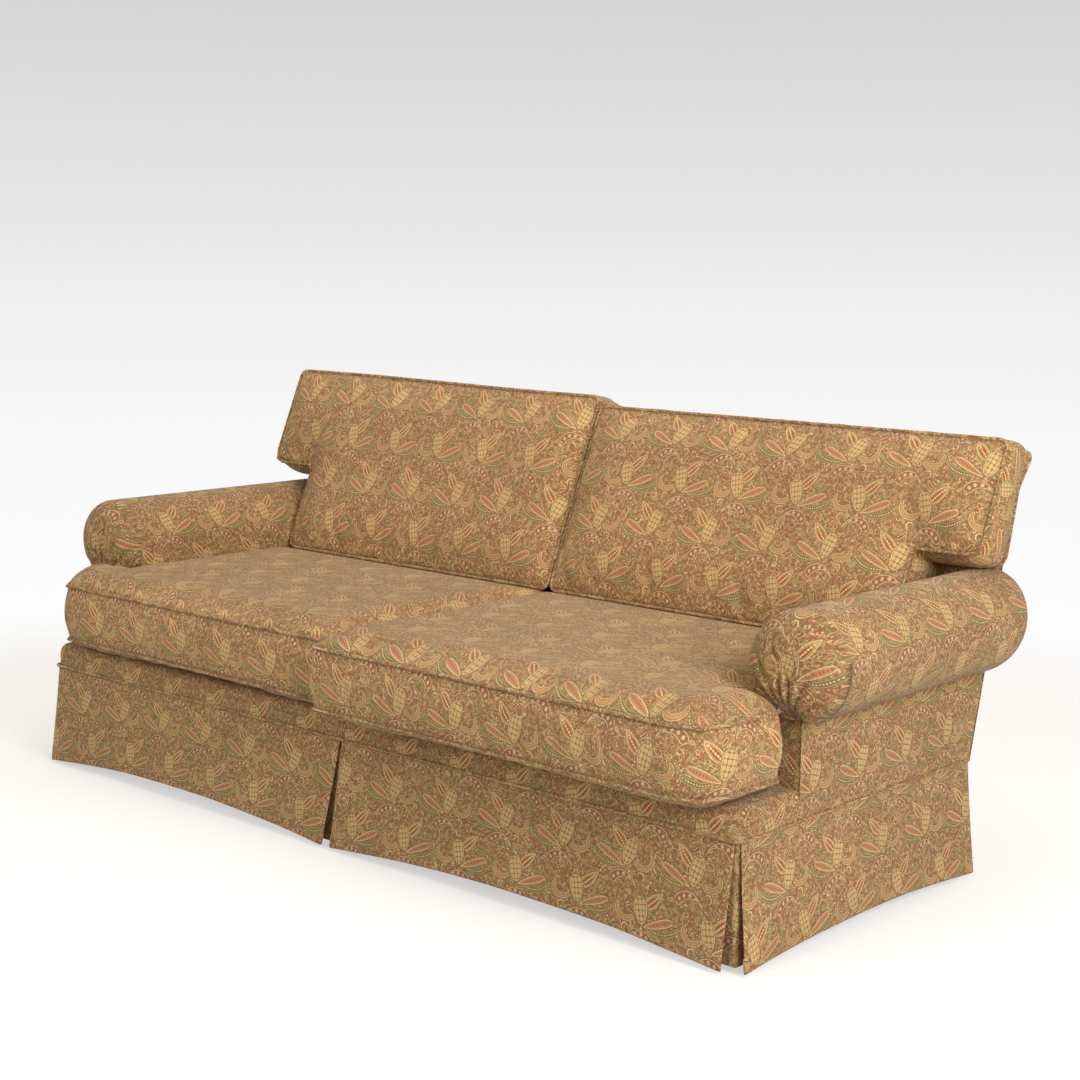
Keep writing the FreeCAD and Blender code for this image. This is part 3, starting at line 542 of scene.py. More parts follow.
@dataclass
class Wiring:
    """Short calls that place and join nodes in one node tree."""

    tree: Tree

    def node(self, kind: str, **settings: object) -> bpy.types.Node:
        """Add a node and set its options."""
        made = self.tree.nodes.new(kind)
        for key, value in settings.items():
            setattr(made, key, value)
        return made

    def feed(self, socket: Socket, value: object) -> None:
        """Join a value or another socket to an input."""
        if isinstance(value, Socket):
            self.tree.links.new(value, socket)
        elif value is not None:
            socket.default_value = value

    def feed_all(self, node: bpy.types.Node, values: dict[str | int, object]) -> bpy.types.Node:
        """Feed several of a node's inputs, by name or number, and return the node."""
        for name, value in values.items():
            self.feed(node.inputs[name], value)
        return node

    def math(self, operation: str, *values: object, clamp: bool = False) -> Socket:
        """Add a Math node.

        Args:
            operation: its operation.
            values: its inputs, sockets or numbers.
            clamp: True to keep the result from 0 to 1.

        Returns:
            Its output.
        """
        made = self.node("ShaderNodeMath", operation=operation, use_clamp=clamp)
        return self.feed_all(made, dict(enumerate(values))).outputs[0]

    def less(self, first: object, second: object) -> Socket:
        """Return the first value less the second."""
        return self.math("SUBTRACT", first, second)

    def times(self, first: object, second: object) -> Socket:
        """Return two values multiplied."""
        return self.math("MULTIPLY", first, second)

    def size(self, value: object) -> Socket:
        """Return a value without its sign."""
        return self.math("ABSOLUTE", value)

    def given(self) -> object:
        """Return the values that a group is given."""
        return self.tree.nodes["In"].outputs

    def give(self, name: str, value: object) -> None:
        """Give a group's result under its name."""
        self.feed(self.tree.nodes["Out"].inputs[name], value)

    def vector(self, operation: str, *values: object, result: str = "Vector") -> Socket:
        """Add a Vector Math node and return its vector, or the result that is named."""
        made = self.node("ShaderNodeVectorMath", operation=operation)
        return self.feed_all(made, dict(enumerate(values))).outputs[result]

    def dot(self, first: object, second: object) -> Socket:
        """Return the dot product of two vectors."""
        return self.vector("DOT_PRODUCT", first, second, result="Value")

    def grey(self, value: object) -> Socket:
        """Turn a value into a grey colour."""
        made = self.node("ShaderNodeCombineColor")
        for socket in made.inputs:
            self.feed(socket, value)
        return made.outputs[0]

    def group(self, tree: Tree, given: dict[str | int, object]) -> bpy.types.Node:
        """Place a node group and feed its inputs by name."""
        return self.feed_all(self.node("ShaderNodeGroup", node_tree=tree), given)

    def bump(self, height: object, strength: float, distance: float, normal: object = None) -> Socket:
        """Add a Bump node and return its normal."""
        values = {"Height": height, "Strength": strength, "Distance": distance, "Normal": normal}
        return self.feed_all(self.node("ShaderNodeBump"), values).outputs[0]

    def mix_shaders(self, share: object, first: object, second: object) -> Socket:
        """Mix two shaders and return the result."""
        return self.feed_all(self.node("ShaderNodeMixShader"), {0: share, 1: first, 2: second}).outputs[0]

    def seen(self) -> Socket:
        """Return 1 for what the camera sees, straight or through glass or a mirror, and 0 for light."""
        path = self.node("ShaderNodeLightPath").outputs
        straight = self.math("MAXIMUM", path["Is Camera Ray"], path["Is Glossy Ray"])
        return self.math("MAXIMUM", straight, path["Is Transmission Ray"])

    def ramp(self, value: object, low: object, high: object, start: float = 0.0, end: float = 1.0) -> Socket:
        """Map a value smoothly from a range to start and end.

        Args:
            value: the input.
            low: where the rise starts.
            high: where it ends.
            start: the result below low.
            end: the result above high.

        Returns:
            The result's socket.
        """
        made = self.node("ShaderNodeMapRange", interpolation_type="SMOOTHSTEP")
        values = {"Value": value, "From Min": low, "From Max": high, "To Min": start, "To Max": end}
        return self.feed_all(made, values).outputs["Result"]

    def blend(self, share: object, first: object, second: object, kind: str = "MIX") -> Socket:
        """Mix two colours.

        Args:
            share: how much of the second.
            first: the colour below.
            second: the colour above.
            kind: the way they mix.

        Returns:
            The mixed colour.
        """
        made = self.node("ShaderNodeMix", data_type="RGBA", blend_type=kind)
        return self.feed_all(made, {0: share, 6: first, 7: second}).outputs[2]

    def join(self, x: object, y: object, z: object = 0.0) -> Socket:
        """Make a vector of three values."""
        return self.feed_all(self.node("ShaderNodeCombineXYZ"), {0: x, 1: y, 2: z}).outputs[0]

    def split(self, value: object) -> tuple[Socket, Socket, Socket]:
        """Take a vector apart into three values."""
        made = self.node("ShaderNodeSeparateXYZ")
        self.feed(made.inputs[0], value)
        return made.outputs[0], made.outputs[1], made.outputs[2]

    def noise(self, place: object, scale: float, detail: float = 2.0, rough: float = 0.5) -> Socket:
        """Add a noise pattern and return its value."""
        made = self.node("ShaderNodeTexNoise", noise_dimensions="3D")
        values = {"Vector": place, "Scale": scale, "Detail": detail, "Roughness": rough}
        return self.feed_all(made, values).outputs[0]


def colour(red: float, green: float, blue: float) -> tuple[float, float, float, float]:
    """Turn an 8 bit screen colour into the linear colour that a shader takes.

    Args:
        red: red, 0 to 255.
        green: green, 0 to 255.
        blue: blue, 0 to 255.

    Returns:
        The linear colour with full alpha.
    """
    linear = []
    for value in (red, green, blue):
        share = value / 255.0
        linear.append(share / 12.92 if share <= 0.04045 else ((share + 0.055) / 1.055) ** 2.4)
    return linear[0], linear[1], linear[2], 1.0


def darker(tint: Tint, share: float) -> tuple[float, float, float, float]:
    """Return a colour that keeps a share of each of its sRGB values."""
    return colour(*[value * share for value in tint])


def new_group(
    name: str, inputs: Sequence[tuple[str, str, object]], outputs: Sequence[tuple[str, str]]
) -> Wiring:
    """Make an empty shader node group.

    Args:
        name: the group's name.
        inputs: name, socket type and first value of each input.
        outputs: name and socket type of each output.

    Returns:
        The wiring of the group's tree, with its input and output nodes placed.
    """
    tree = bpy.data.node_groups.new(name, "ShaderNodeTree")
    for label, kind, value in inputs:
        socket = tree.interface.new_socket(label, in_out="INPUT", socket_type=kind)
        if value is not None:
            socket.default_value = value
    for label, kind in outputs:
        tree.interface.new_socket(label, in_out="OUTPUT", socket_type=kind)
    wiring = Wiring(tree)
    wiring.node("NodeGroupInput", name="In")
    wiring.node("NodeGroupOutput", name="Out")
    return wiring


def new_material(name: str) -> tuple[Material, Wiring, bpy.types.Node]:
    """Make a material with an empty tree but its output and Principled BSDF.

    Args:
        name: the material's name.

    Returns:
        The material, its wiring and its shader node.
    """
    material = bpy.data.materials.new(name)
    material.use_nodes = True
    material.node_tree.nodes.clear()
    wiring = Wiring(material.node_tree)
    output = wiring.node("ShaderNodeOutputMaterial")
    shader = wiring.node("ShaderNodeBsdfPrincipled")
    wiring.feed(output.inputs["Surface"], shader.outputs[0])
    return material, wiring, shader


# Cloth pattern


@dataclass(frozen=True)
class Leaf:
    """A leaf of the pattern, in millimetres from the motif's middle.

    It runs from base to tip, bends sideways in the middle, and is widest where its rise and fall
    powers put it.
    """

    base: Flat
    tip: Flat
    half: float
    rise: float = 0.5
    fall: float = 0.5
    bend: float = 0.0


@dataclass(frozen=True)
class Curl:
    """A curled leaf of the pattern, in millimetres and degrees, drawn round a centre."""

    centre: Flat
    start: float
    sweep: float
    radii: Flat
    half: float
    rise: float = 0.5
    fall: float = 0.5


@dataclass(frozen=True)
class Thread:
    """The yarn colours of one motif: its outline, the band inside it and its heart."""

    outline: Tint
    band: Tint
    heart: Tint
    line: float = 2.0
    ring: float = 2.4


TAN = (230, 200, 146)
STRAW = (214, 178, 122)
GOLD = (192, 150, 98)
RUST = (156, 92, 58)
ROSE = (186, 132, 98)
SAGE = (174, 162, 110)
OLIVE = (132, 112, 70)
BROWN = (152, 106, 72)
BLUSH = (224, 190, 150)
FILLINGS = {
    "chain": (11, 0.5, -0.3, 0.1, 1.0, RUST),
    "dots": (15, 1.0, -0.9, -0.4, 1.0, TAN),
    "heart": (8, 1.0, -1.8, -1.0, 1.0, TAN),
    "flowers": (6, 0.3, -0.5, 0.0, 0.9, BLUSH),
}
"""What is woven inside a leaf: how many figures, how pointed, where each begins and ends, how
strong it is and its yarn."""


@dataclass
class ClothGroups:
    """The shader node groups that every cover shares."""

    leaf: Tree = field(init=False)
    curl: Tree = field(init=False)
    motif: Tree = field(init=False)
    paisley: Tree = field(init=False)
    weave: Tree = field(init=False)
    # Fades the cover by wear and darkens it near seams and folds: seam dirt and painted shade.
    wear: Tree = field(init=False)

    def __post_init__(self) -> None:
        """Build the groups, the small ones first."""
        self.leaf = self._leaf()
        self.curl = self._curl()
        self.motif = self._motif()
        self.weave = self._weave()
        self.wear = self._wear_and_shade()
        self.paisley = self._paisley()

    @staticmethod
    def _measured(wiring: Wiring, share: object, offset: object) -> Tree:
        """Give how deep a place lies inside a form that narrows to nought at both ends.

        Args:
            wiring: the group's wiring.
            share: the place along the form, 0 to 1.
            offset: its distance from the form's middle line.

        Returns:
            The group's tree.
        """
        given = wiring.given()
        kept = wiring.math("ADD", share, 0.0, clamp=True)
        up = wiring.math("POWER", kept, given["Rise"])
        down = wiring.math("POWER", wiring.less(1.0, kept), given["Fall"])
        width = wiring.times(wiring.times(up, down), given["Half width"])
        past = wiring.size(wiring.less(share, kept))
        depth = wiring.less(width, wiring.size(offset))
        wiring.give("Depth", wiring.less(depth, wiring.times(past, 90.0)))
        wiring.give("Share", share)
        wiring.give("Offset", offset)
        return wiring.tree

    def _leaf(self) -> Tree:
        """Build the group that measures how deep a place lies inside a leaf."""
        kind = "NodeSocketFloat"
        wiring = new_group(
            "Pattern leaf",
            [
                ("Place", "NodeSocketVector", None),
                ("Base", "NodeSocketVector", None),
                ("Along", "NodeSocketVector", None),
                ("Across", "NodeSocketVector", None),
                ("Half width", kind, 5.0),
                ("Rise", kind, 0.5),
                ("Fall", kind, 0.5),
                ("Bend", kind, 0.0),
            ],
            [("Depth", kind), ("Share", kind), ("Offset", kind)],
        )
        given = wiring.given()
        away = wiring.vector("SUBTRACT", given["Place"], given["Base"])
        share = wiring.dot(away, given["Along"])
        side = wiring.dot(away, given["Across"])
        arch = wiring.times(share, wiring.less(1.0, share))
        offset = wiring.less(side, wiring.times(arch, wiring.times(given["Bend"], 4.0)))
        return self._measured(wiring, share, offset)

    def _curl(self) -> Tree:
        """Build the group that measures how deep a place lies inside a curled leaf."""
        kind = "NodeSocketFloat"
        wiring = new_group(
            "Pattern curl",
            [
                ("Place", "NodeSocketVector", None),
                ("Centre", "NodeSocketVector", None),
                ("Start", "NodeSocketVector", None),
                ("Turned", "NodeSocketVector", None),
                ("Sweep", kind, 3.0),
                ("First radius", kind, 20.0),
                ("Growth", kind, 0.0),
                ("Half width", kind, 5.0),
                ("Rise", kind, 0.5),
                ("Fall", kind, 0.5),
            ],
            [("Depth", kind), ("Share", kind), ("Offset", kind)],
        )
        given = wiring.given()
        away = wiring.vector("SUBTRACT", given["Place"], given["Centre"])
        ahead = wiring.dot(away, given["Start"])
        side = wiring.dot(away, given["Turned"])
        turn = wiring.math("ARCTAN2", side, ahead)
        turn = wiring.math("FLOORED_MODULO", wiring.math("ADD", turn, 0.4), 2 * math.pi)
        share = wiring.math("DIVIDE", wiring.less(turn, 0.4), given["Sweep"])
        radius = wiring.math("MULTIPLY_ADD", share, given["Growth"], given["First radius"])
        offset = wiring.less(wiring.vector("LENGTH", away, result="Value"), radius)
        return self._measured(wiring, share, offset)

    @staticmethod
    def _motif() -> Tree:
        """Build the group that lays a motif's three yarn colours over what is below."""
        tint = "NodeSocketColor"
        kind = "NodeSocketFloat"
        wiring = new_group(
            "Pattern yarns",
            [
                ("Below", tint, None),
                ("Depth", kind, 0.0),
                ("Outline", tint, None),
                ("Band", tint, None),
                ("Heart", tint, None),
                ("Line", kind, 2.0),
                ("Ring", kind, 2.4),
            ],
            [("Color", tint)],
        )
        given = wiring.given()
        soft = 0.35
        depth = given["Depth"]
        edge = wiring.ramp(depth, -soft, soft)
        inner = wiring.less(depth, given["Line"])
        band = wiring.ramp(inner, -soft, soft)
        deep = wiring.less(inner, given["Ring"])
        heart = wiring.ramp(deep, -soft, soft)
        halo = wiring.ramp(depth, -3.4, -1.6)
        shaded = wiring.blend(wiring.times(halo, 0.6), given["Below"], colour(*OLIVE))
        inside = wiring.blend(heart, given["Band"], given["Heart"])
        filled = wiring.blend(band, given["Outline"], inside)
        wiring.give("Color", wiring.blend(edge, shaded, filled))
        return wiring.tree

    @staticmethod
    def _weave() -> Tree:
        """Build the group for the cloth's ribs, slubs and small unevenness."""
        kind = "NodeSocketFloat"
        wiring = new_group(
            "Woven ribs",
            [("Cloth", "NodeSocketVector", None)],
            [("Shade", kind), ("Height", kind)],
        )
        cloth = wiring.given()["Cloth"]
        across, along, _ = wiring.split(cloth)
        warp = wiring.math("SINE", wiring.times(across, 2 * math.pi / 0.0011))
        weft = wiring.math("SINE", wiring.times(along, 2 * math.pi / 0.0009))
        grain = wiring.times(warp, weft)
        slubs = wiring.noise(wiring.vector("MULTIPLY", cloth, (420.0, 1100.0, 1.0)), 1.0, 2.0, 0.6)
        uneven = wiring.less(slubs, 0.5)
        tufts = wiring.less(wiring.noise(cloth, 330.0, 2.0, 0.7), 0.5)
        plain = wiring.math("MULTIPLY_ADD", tufts, 0.75, wiring.math("MULTIPLY_ADD", grain, 0.05, 1.0))
        shade = wiring.math("MULTIPLY_ADD", uneven, 0.4, plain)
        wiring.give("Shade", shade)
        height = wiring.math("MULTIPLY_ADD", grain, 0.5, wiring.times(uneven, 1.5))
        wiring.give("Height", height)
        return wiring.tree

    @staticmethod
    def _wear_and_shade() -> Tree:
        """Build the group that fades a cover by wear and darkens it near its seams and folds with seam dirt
        and painted shade.
        """
        tint = "NodeSocketColor"
        kind = "NodeSocketFloat"
        wiring = new_group(
            "Cover wear",
            [
                ("Color", tint, None),
                ("Cloth", "NodeSocketVector", None),
                ("Seam distance", kind, 0.1),
                ("Fade", kind, 0.0),
                ("Faded color", tint, colour(128, 97, 67)),
            ],
            [("Color", tint), ("Pucker", kind)],
        )
        given = wiring.given()
        cloth = given["Cloth"]
        patches = wiring.noise(cloth, 9.0, 4.0, 0.55)
        rubbed = wiring.times(wiring.ramp(patches, 0.3, 0.62, 0.6, 1.0), given["Fade"])
        inner = wiring.ramp(given["Seam distance"], 0.004, 0.05)
        rubbed = wiring.times(rubbed, inner)
        faded = wiring.blend(rubbed, given["Color"], given["Faded color"])
        cloud = wiring.ramp(wiring.noise(cloth, 5.0, 3.0), 0.3, 0.7, 0.93, 1.06)
        # Seam dirt and painted shade: the cover darkens within 20 mm of a seam or fold.
        seam_dirt_and_shade = wiring.ramp(given["Seam distance"], 0.0, 0.02, 0.72, 1.0)
        # Painted shade: a darker line along each seam and in each fold crease.
        crease = wiring.ramp(given["Seam distance"], 0.0, 0.0045, 0.5, 1.0)
        seam_dirt_and_shade = wiring.times(seam_dirt_and_shade, crease)
        tone = wiring.times(cloud, seam_dirt_and_shade)
        final = wiring.blend(1.0, faded, wiring.grey(tone), "MULTIPLY")
        wiring.give("Color", final)
        gathers = wiring.noise(wiring.vector("MULTIPLY", cloth, (70.0, 70.0, 1.0)), 1.0, 2.0, 0.5)
        near = wiring.ramp(given["Seam distance"], 0.0, 0.045, 1.0, 0.0)
        wiring.give("Pucker", wiring.times(gathers, near))
        return wiring.tree

    def _paisley(self) -> Tree:
        """Build the whole pattern: two mirrored rows of leafy motifs, commas and small curls."""
        wiring = new_group(
            "Paisley",
            [("Cloth", "NodeSocketVector", None)],
            [("Color", "NodeSocketColor")],
        )
        cloth = wiring.given()["Cloth"]
        place = wiring.vector("MULTIPLY", cloth, (1000.0, 1000.0, 0.0))
        ragged = wiring.node("ShaderNodeTexNoise", noise_dimensions="2D")
        wiring.feed_all(ragged, {"Vector": place, "Scale": 0.45, "Detail": 2.0})
        drift = wiring.vector("SUBTRACT", ragged.outputs["Color"], (0.5, 0.5, 0.5))
        shift = wiring.vector("MULTIPLY_ADD", drift, (2.6, 2.6, 0.0), place)
        below = self._ground(wiring, shift)
        main = self._folded(wiring, shift, 0.0)
        low = self._folded(wiring, shift, 56.0)
        comma = Curl((12, -22), 22, 150, (25, 38), 9.6, 0.34, 1.5)
        fern = Leaf((17, -28), (94, -6), 6.0, 0.5, 0.45, -15)
        scroll = Curl((-38, -2), -30, -178, (27, 15), 6.2, 0.3, 0.55)
        long_leaf = Leaf((11, -31), (75, -1), 8.4, 0.75, 0.4)
        drop = Leaf((12, 9), (46, 46), 11.5, 0.42, 0.8)
        cone = Leaf((7.5, -27), (-6.7, 27), 15.0, 0.55, 0.36)
        laid = (
            (low, Curl((36, -10), -75, 150, (13, 17), 1.1), Thread(RUST, RUST, RUST), ""),
            (low, Curl((-30, 14), 20, 230, (5, 11), 1.2), Thread(TAN, TAN, TAN), ""),
            (low, comma, Thread(BLUSH, BROWN, BROWN, 1.4, 0.8), "flowers"),
            (low, Leaf((-52, -16), (-40, -4), 3.6, 0.5, 0.5), Thread(TAN, RUST, RUST, 1.0), ""),
            (low, Leaf((52, -14), (44, -5), 3.2, 0.5, 0.5), Thread(TAN, ROSE, ROSE, 1.0), ""),
            (main, Curl((62, 18), 200, 250, (13, 5), 1.2), Thread(SAGE, SAGE, SAGE), ""),
            (main, fern, Thread(SAGE, OLIVE, OLIVE, 1.3, 1.0), "dots"),
            (main, scroll, Thread(TAN, BROWN, GOLD, 1.4, 1.2), ""),
            (main, long_leaf, Thread(TAN, GOLD, ROSE, 1.4, 2.2), "chain"),
            (main, drop, Thread(TAN, GOLD, RUST, 1.5, 3.8), "heart"),
            (main, cone, Thread(TAN, OLIVE, STRAW, 1.5, 0.9), "seeds"),
        )
        for where, form, yarns, filling in laid:
            below = self._leafed(wiring, where, below, form, yarns, filling)
        wiring.give("Color", below)
        return wiring.tree

    @staticmethod
    def _folded(wiring: Wiring, place: object, lift: float) -> Socket:
        """Fold the cloth so that every repeat of the motif falls on one.

        Args:
            wiring: the group's wiring.
            place: the place on the cloth, in millimetres.
            lift: how far the fold's middle lies below the motif's middle.

        Returns:
            The place in the motif's own frame, with its middle at the fold's.
        """
        half_row = REPEAT_TALL * 500
        wide = REPEAT_WIDE * 1000
        x, y, _ = wiring.split(place)
        raised = wiring.math("ADD", y, lift)
        row = wiring.math("FLOOR", wiring.math("DIVIDE", wiring.math("ADD", raised, half_row / 2), half_row))
        inside = wiring.less(raised, wiring.times(row, half_row))
        odd = wiring.math("FLOORED_MODULO", row, 2.0)
        sign = wiring.math("MULTIPLY_ADD", odd, -2.0, 1.0)
        turned = wiring.less(wiring.times(x, sign), wiring.times(odd, 41.6))
        folded = wiring.math("FLOORED_MODULO", wiring.math("ADD", turned, 62.0), wide)
        return wiring.join(wiring.less(folded, 62.0), inside)

    def _ground(self, wiring: Wiring, place: object) -> Socket:
        """Return the cloth's ground with its small curls, dots and vines."""
        patch = wiring.noise(place, 0.035, 2.0)
        below = wiring.blend(wiring.ramp(patch, 0.48, 0.64, 0.0, 0.8), colour(*BROWN), colour(*OLIVE))
        for scale, line, tint, other in ((0.062, 0.27, GOLD, RUST), (0.1, 0.25, SAGE, GOLD)):
            cells = wiring.node("ShaderNodeTexVoronoi", voronoi_dimensions="2D", feature="F1")
            wiring.feed_all(cells, {"Vector": place, "Scale": scale, "Randomness": 0.9})
            away = cells.outputs["Distance"]
            choice = wiring.split(cells.outputs["Color"])[0]
            ring = wiring.size(wiring.less(away, line))
            shape = wiring.ramp(ring, 0.03, 0.075, 1.0, 0.0)
            kept = wiring.times(shape, wiring.ramp(choice, 0.2, 0.4))
            yarn = wiring.blend(wiring.ramp(choice, 0.55, 0.6), colour(*tint), colour(*other))
            below = wiring.blend(wiring.times(kept, 0.85), below, yarn)
            dot = wiring.ramp(away, 0.07, 0.12, 0.8, 0.0)
            below = wiring.blend(dot, below, colour(*(TAN if scale < 0.1 else SAGE)))
        vine = wiring.noise(place, 0.05, 1.0)
        line = wiring.ramp(wiring.size(wiring.less(vine, 0.5)), 0.008, 0.022, 0.75, 0.0)
        below = wiring.blend(line, below, colour(*SAGE))
        tendril = wiring.noise(wiring.vector("ADD", place, (300.0, 120.0, 0.0)), 0.07, 1.0)
        thin = wiring.ramp(wiring.size(wiring.less(tendril, 0.52)), 0.006, 0.02, 0.85, 0.0)
        return wiring.blend(thin, below, colour(*TAN))

    def _leafed(
        self,
        wiring: Wiring,
        place: object,
        below: object,
        form: Leaf | Curl,
        yarns: Thread,
        filling: str = "",
    ) -> Socket:
        """Lay one leaf or curl over the cloth.

        Args:
            wiring: the pattern group's wiring.
            place: the place in the motif's frame.
            below: the colour below it.
            form: its outline.
            yarns: its colours.
            filling: what is woven inside it.

        Returns:
            The colour with the leaf on it.
        """
        powers = form.rise + form.fall
        peak = (form.rise / powers) ** form.rise * (form.fall / powers) ** form.fall
        given = {"Place": place, "Half width": form.half / peak, "Rise": form.rise, "Fall": form.fall}
        if isinstance(form, Leaf):
            tree = self.leaf
            run = Vector(form.tip) - Vector(form.base)
            along = run / run.length_squared
            across = Vector((-run.y, run.x)) / run.length
            given |= {
                "Base": (*form.base, 0.0),
                "Along": (along.x, along.y, 0.0),
                "Across": (across.x, across.y, 0.0),
                "Bend": form.bend,
            }
        else:
            tree = self.curl
            start = math.radians(form.start)
            turn = math.copysign(1.0, form.sweep)
            given |= {
                "Centre": (*form.centre, 0.0),
                "Start": (math.cos(start), math.sin(start), 0.0),
                "Turned": (-math.sin(start) * turn, math.cos(start) * turn, 0.0),
                "Sweep": math.radians(abs(form.sweep)),
                "First radius": form.radii[0],
                "Growth": form.radii[1] - form.radii[0],
            }
        found = wiring.group(tree, given).outputs
        laid = {
            "Below": below,
            "Depth": found["Depth"],
            "Outline": colour(*yarns.outline),
            "Band": colour(*yarns.band),
            "Heart": self._filled(wiring, found, colour(*yarns.heart), filling),
            "Line": yarns.line,
            "Ring": yarns.ring,
        }
        return wiring.group(self.motif, laid).outputs[0]

    @staticmethod
    def _filled(wiring: Wiring, found: object, heart: object, filling: str) -> object:
        """Return what is woven in a leaf's heart."""
        share = found["Share"]
        offset = found["Offset"]
        if filling == "seeds":
            rows = wiring.math("COSINE", wiring.times(share, 2 * math.pi * 2.5))
            columns = wiring.math("COSINE", wiring.times(offset, 2 * math.pi / 17.0))
            mesh = wiring.size(wiring.times(rows, columns))
            return wiring.blend(wiring.ramp(mesh, 0.1, 0.26, 0.95, 0.0), heart, colour(*OLIVE))
        if filling in FILLINGS:
            count, slope, low, high, strength, yarn = FILLINGS[filling]
            wave = wiring.math("COSINE", wiring.times(share, 2 * math.pi * count))
            reach = wiring.times(wiring.size(offset), slope)
            spot = wiring.ramp(wiring.less(wave, reach), low, high, 0.0, strength)
            return wiring.blend(spot, heart, colour(*yarn))
        return heart


# Finishes


@dataclass(frozen=True)
class PaisleyCloth:
    """The sofa's woven paisley cover."""

    name: str = "paisley_weave"
    fade: float = 0.12
    roughness: float = 0.88
    sheen: float = 0.1

    def make(self, groups: ClothGroups) -> Material:
        """Build the material from the shared groups.

        Args:
            groups: the shared node groups.

        Returns:
            The material.
        """
        material, wiring, shader = new_material(self.name)
        cloth = wiring.node("ShaderNodeUVMap", uv_map="Cloth").outputs[0]
        seam = wiring.node("ShaderNodeAttribute", attribute_name="seam_distance").outputs["Fac"]
        pattern = wiring.group(groups.paisley, {"Cloth": cloth})
        weave = wiring.group(groups.weave, {"Cloth": cloth})
        given = {"Color": pattern.outputs["Color"], "Cloth": cloth, "Seam distance": seam, "Fade": self.fade}
        # Fades the cover and darkens it near seams and folds: seam dirt and painted shade.
        worn_and_shaded = wiring.group(groups.wear, given)
        shaded = wiring.blend(1.0, worn_and_shaded.outputs["Color"], wiring.grey(weave.outputs["Shade"]), "MULTIPLY")
        gathers = wiring.bump(worn_and_shaded.outputs["Pucker"], 0.6, 0.006)
        look = {
            "Base Color": shaded,
            "Roughness": self.roughness,
            "Sheen Weight": self.sheen,
            "Sheen Roughness": 0.5,
            "Specular IOR Level": 0.25,
            "Normal": wiring.bump(weave.outputs["Height"], 0.35, 0.0006, gathers),
        }
        wiring.feed_all(shader, look)
        return material


@dataclass(frozen=True)
class PlainCloth:
    """A plain woven lining or base cloth."""

    name: str
    tint: Tint
    thread: float = 900.0

    def make(self) -> Material:
        """Build the material and return it."""
        material, wiring, shader = new_material(self.name)
        uv = wiring.node("ShaderNodeUVMap", uv_map="Cloth").outputs[0]
        waves = wiring.node("ShaderNodeTexWave", bands_direction="X")
        wiring.feed_all(waves, {"Vector": uv, "Scale": self.thread / 10, "Distortion": 1.5})
        base = wiring.blend(waves.outputs[1], colour(*self.tint), darker(self.tint, 0.8))
        ribs = wiring.bump(waves.outputs[1], 0.3, 0.0005)
        wiring.feed_all(shader, {"Base Color": base, "Roughness": 0.9, "Normal": ribs})
        return material


@dataclass(frozen=True)
class Timber:
    """Bare or stained wood with its grain along one axis."""

    name: str
    light: Tint
    dark: Tint
    roughness: float = 0.6

    def make(self) -> Material:
        """Build the material and return it."""
        material, wiring, shader = new_material(self.name)
        place = wiring.node("ShaderNodeTexCoord").outputs["Object"]
        stretched = wiring.vector("MULTIPLY", place, (6.0, 60.0, 60.0))
        grain = wiring.noise(stretched, 1.0, 6.0, 0.6)
        base = wiring.blend(wiring.ramp(grain, 0.35, 0.7), colour(*self.light), colour(*self.dark))
        pores = wiring.bump(grain, 0.25, 0.0004)
        wiring.feed_all(shader, {"Base Color": base, "Roughness": self.roughness, "Normal": pores})
        return material


@dataclass(frozen=True)
class Metal:
    """Drawn or pressed steel, slightly dull."""

    name: str
    tint: Tint
    roughness: float = 0.4

    def make(self) -> Material:
        """Build the material and return it."""
        material, wiring, shader = new_material(self.name)
        place = wiring.node("ShaderNodeTexCoord").outputs["Object"]
        stain = wiring.noise(place, 90.0, 4.0, 0.6)
        dull = wiring.ramp(stain, 0.4, 0.7, self.roughness, self.roughness + 0.25)
        patches = wiring.ramp(stain, 0.45, 0.75)
        base = wiring.blend(patches, colour(*self.tint), darker(self.tint, 0.75))
        wiring.feed_all(shader, {"Base Color": base, "Roughness": dull, "Metallic": 1.0})
        return material


@dataclass(frozen=True)
class Plastic:
    """Moulded plastic with a fine dull grain."""

    name: str
    tint: Tint

    def make(self) -> Material:
        """Build the material and return it."""
        material, wiring, shader = new_material(self.name)
        place = wiring.node("ShaderNodeTexCoord").outputs["Object"]
        grain = wiring.noise(place, 400.0, 2.0)
        base = wiring.blend(grain, colour(*self.tint), darker(self.tint, 0.8))
        wiring.feed_all(shader, {"Base Color": base, "Roughness": 0.5})
        return material


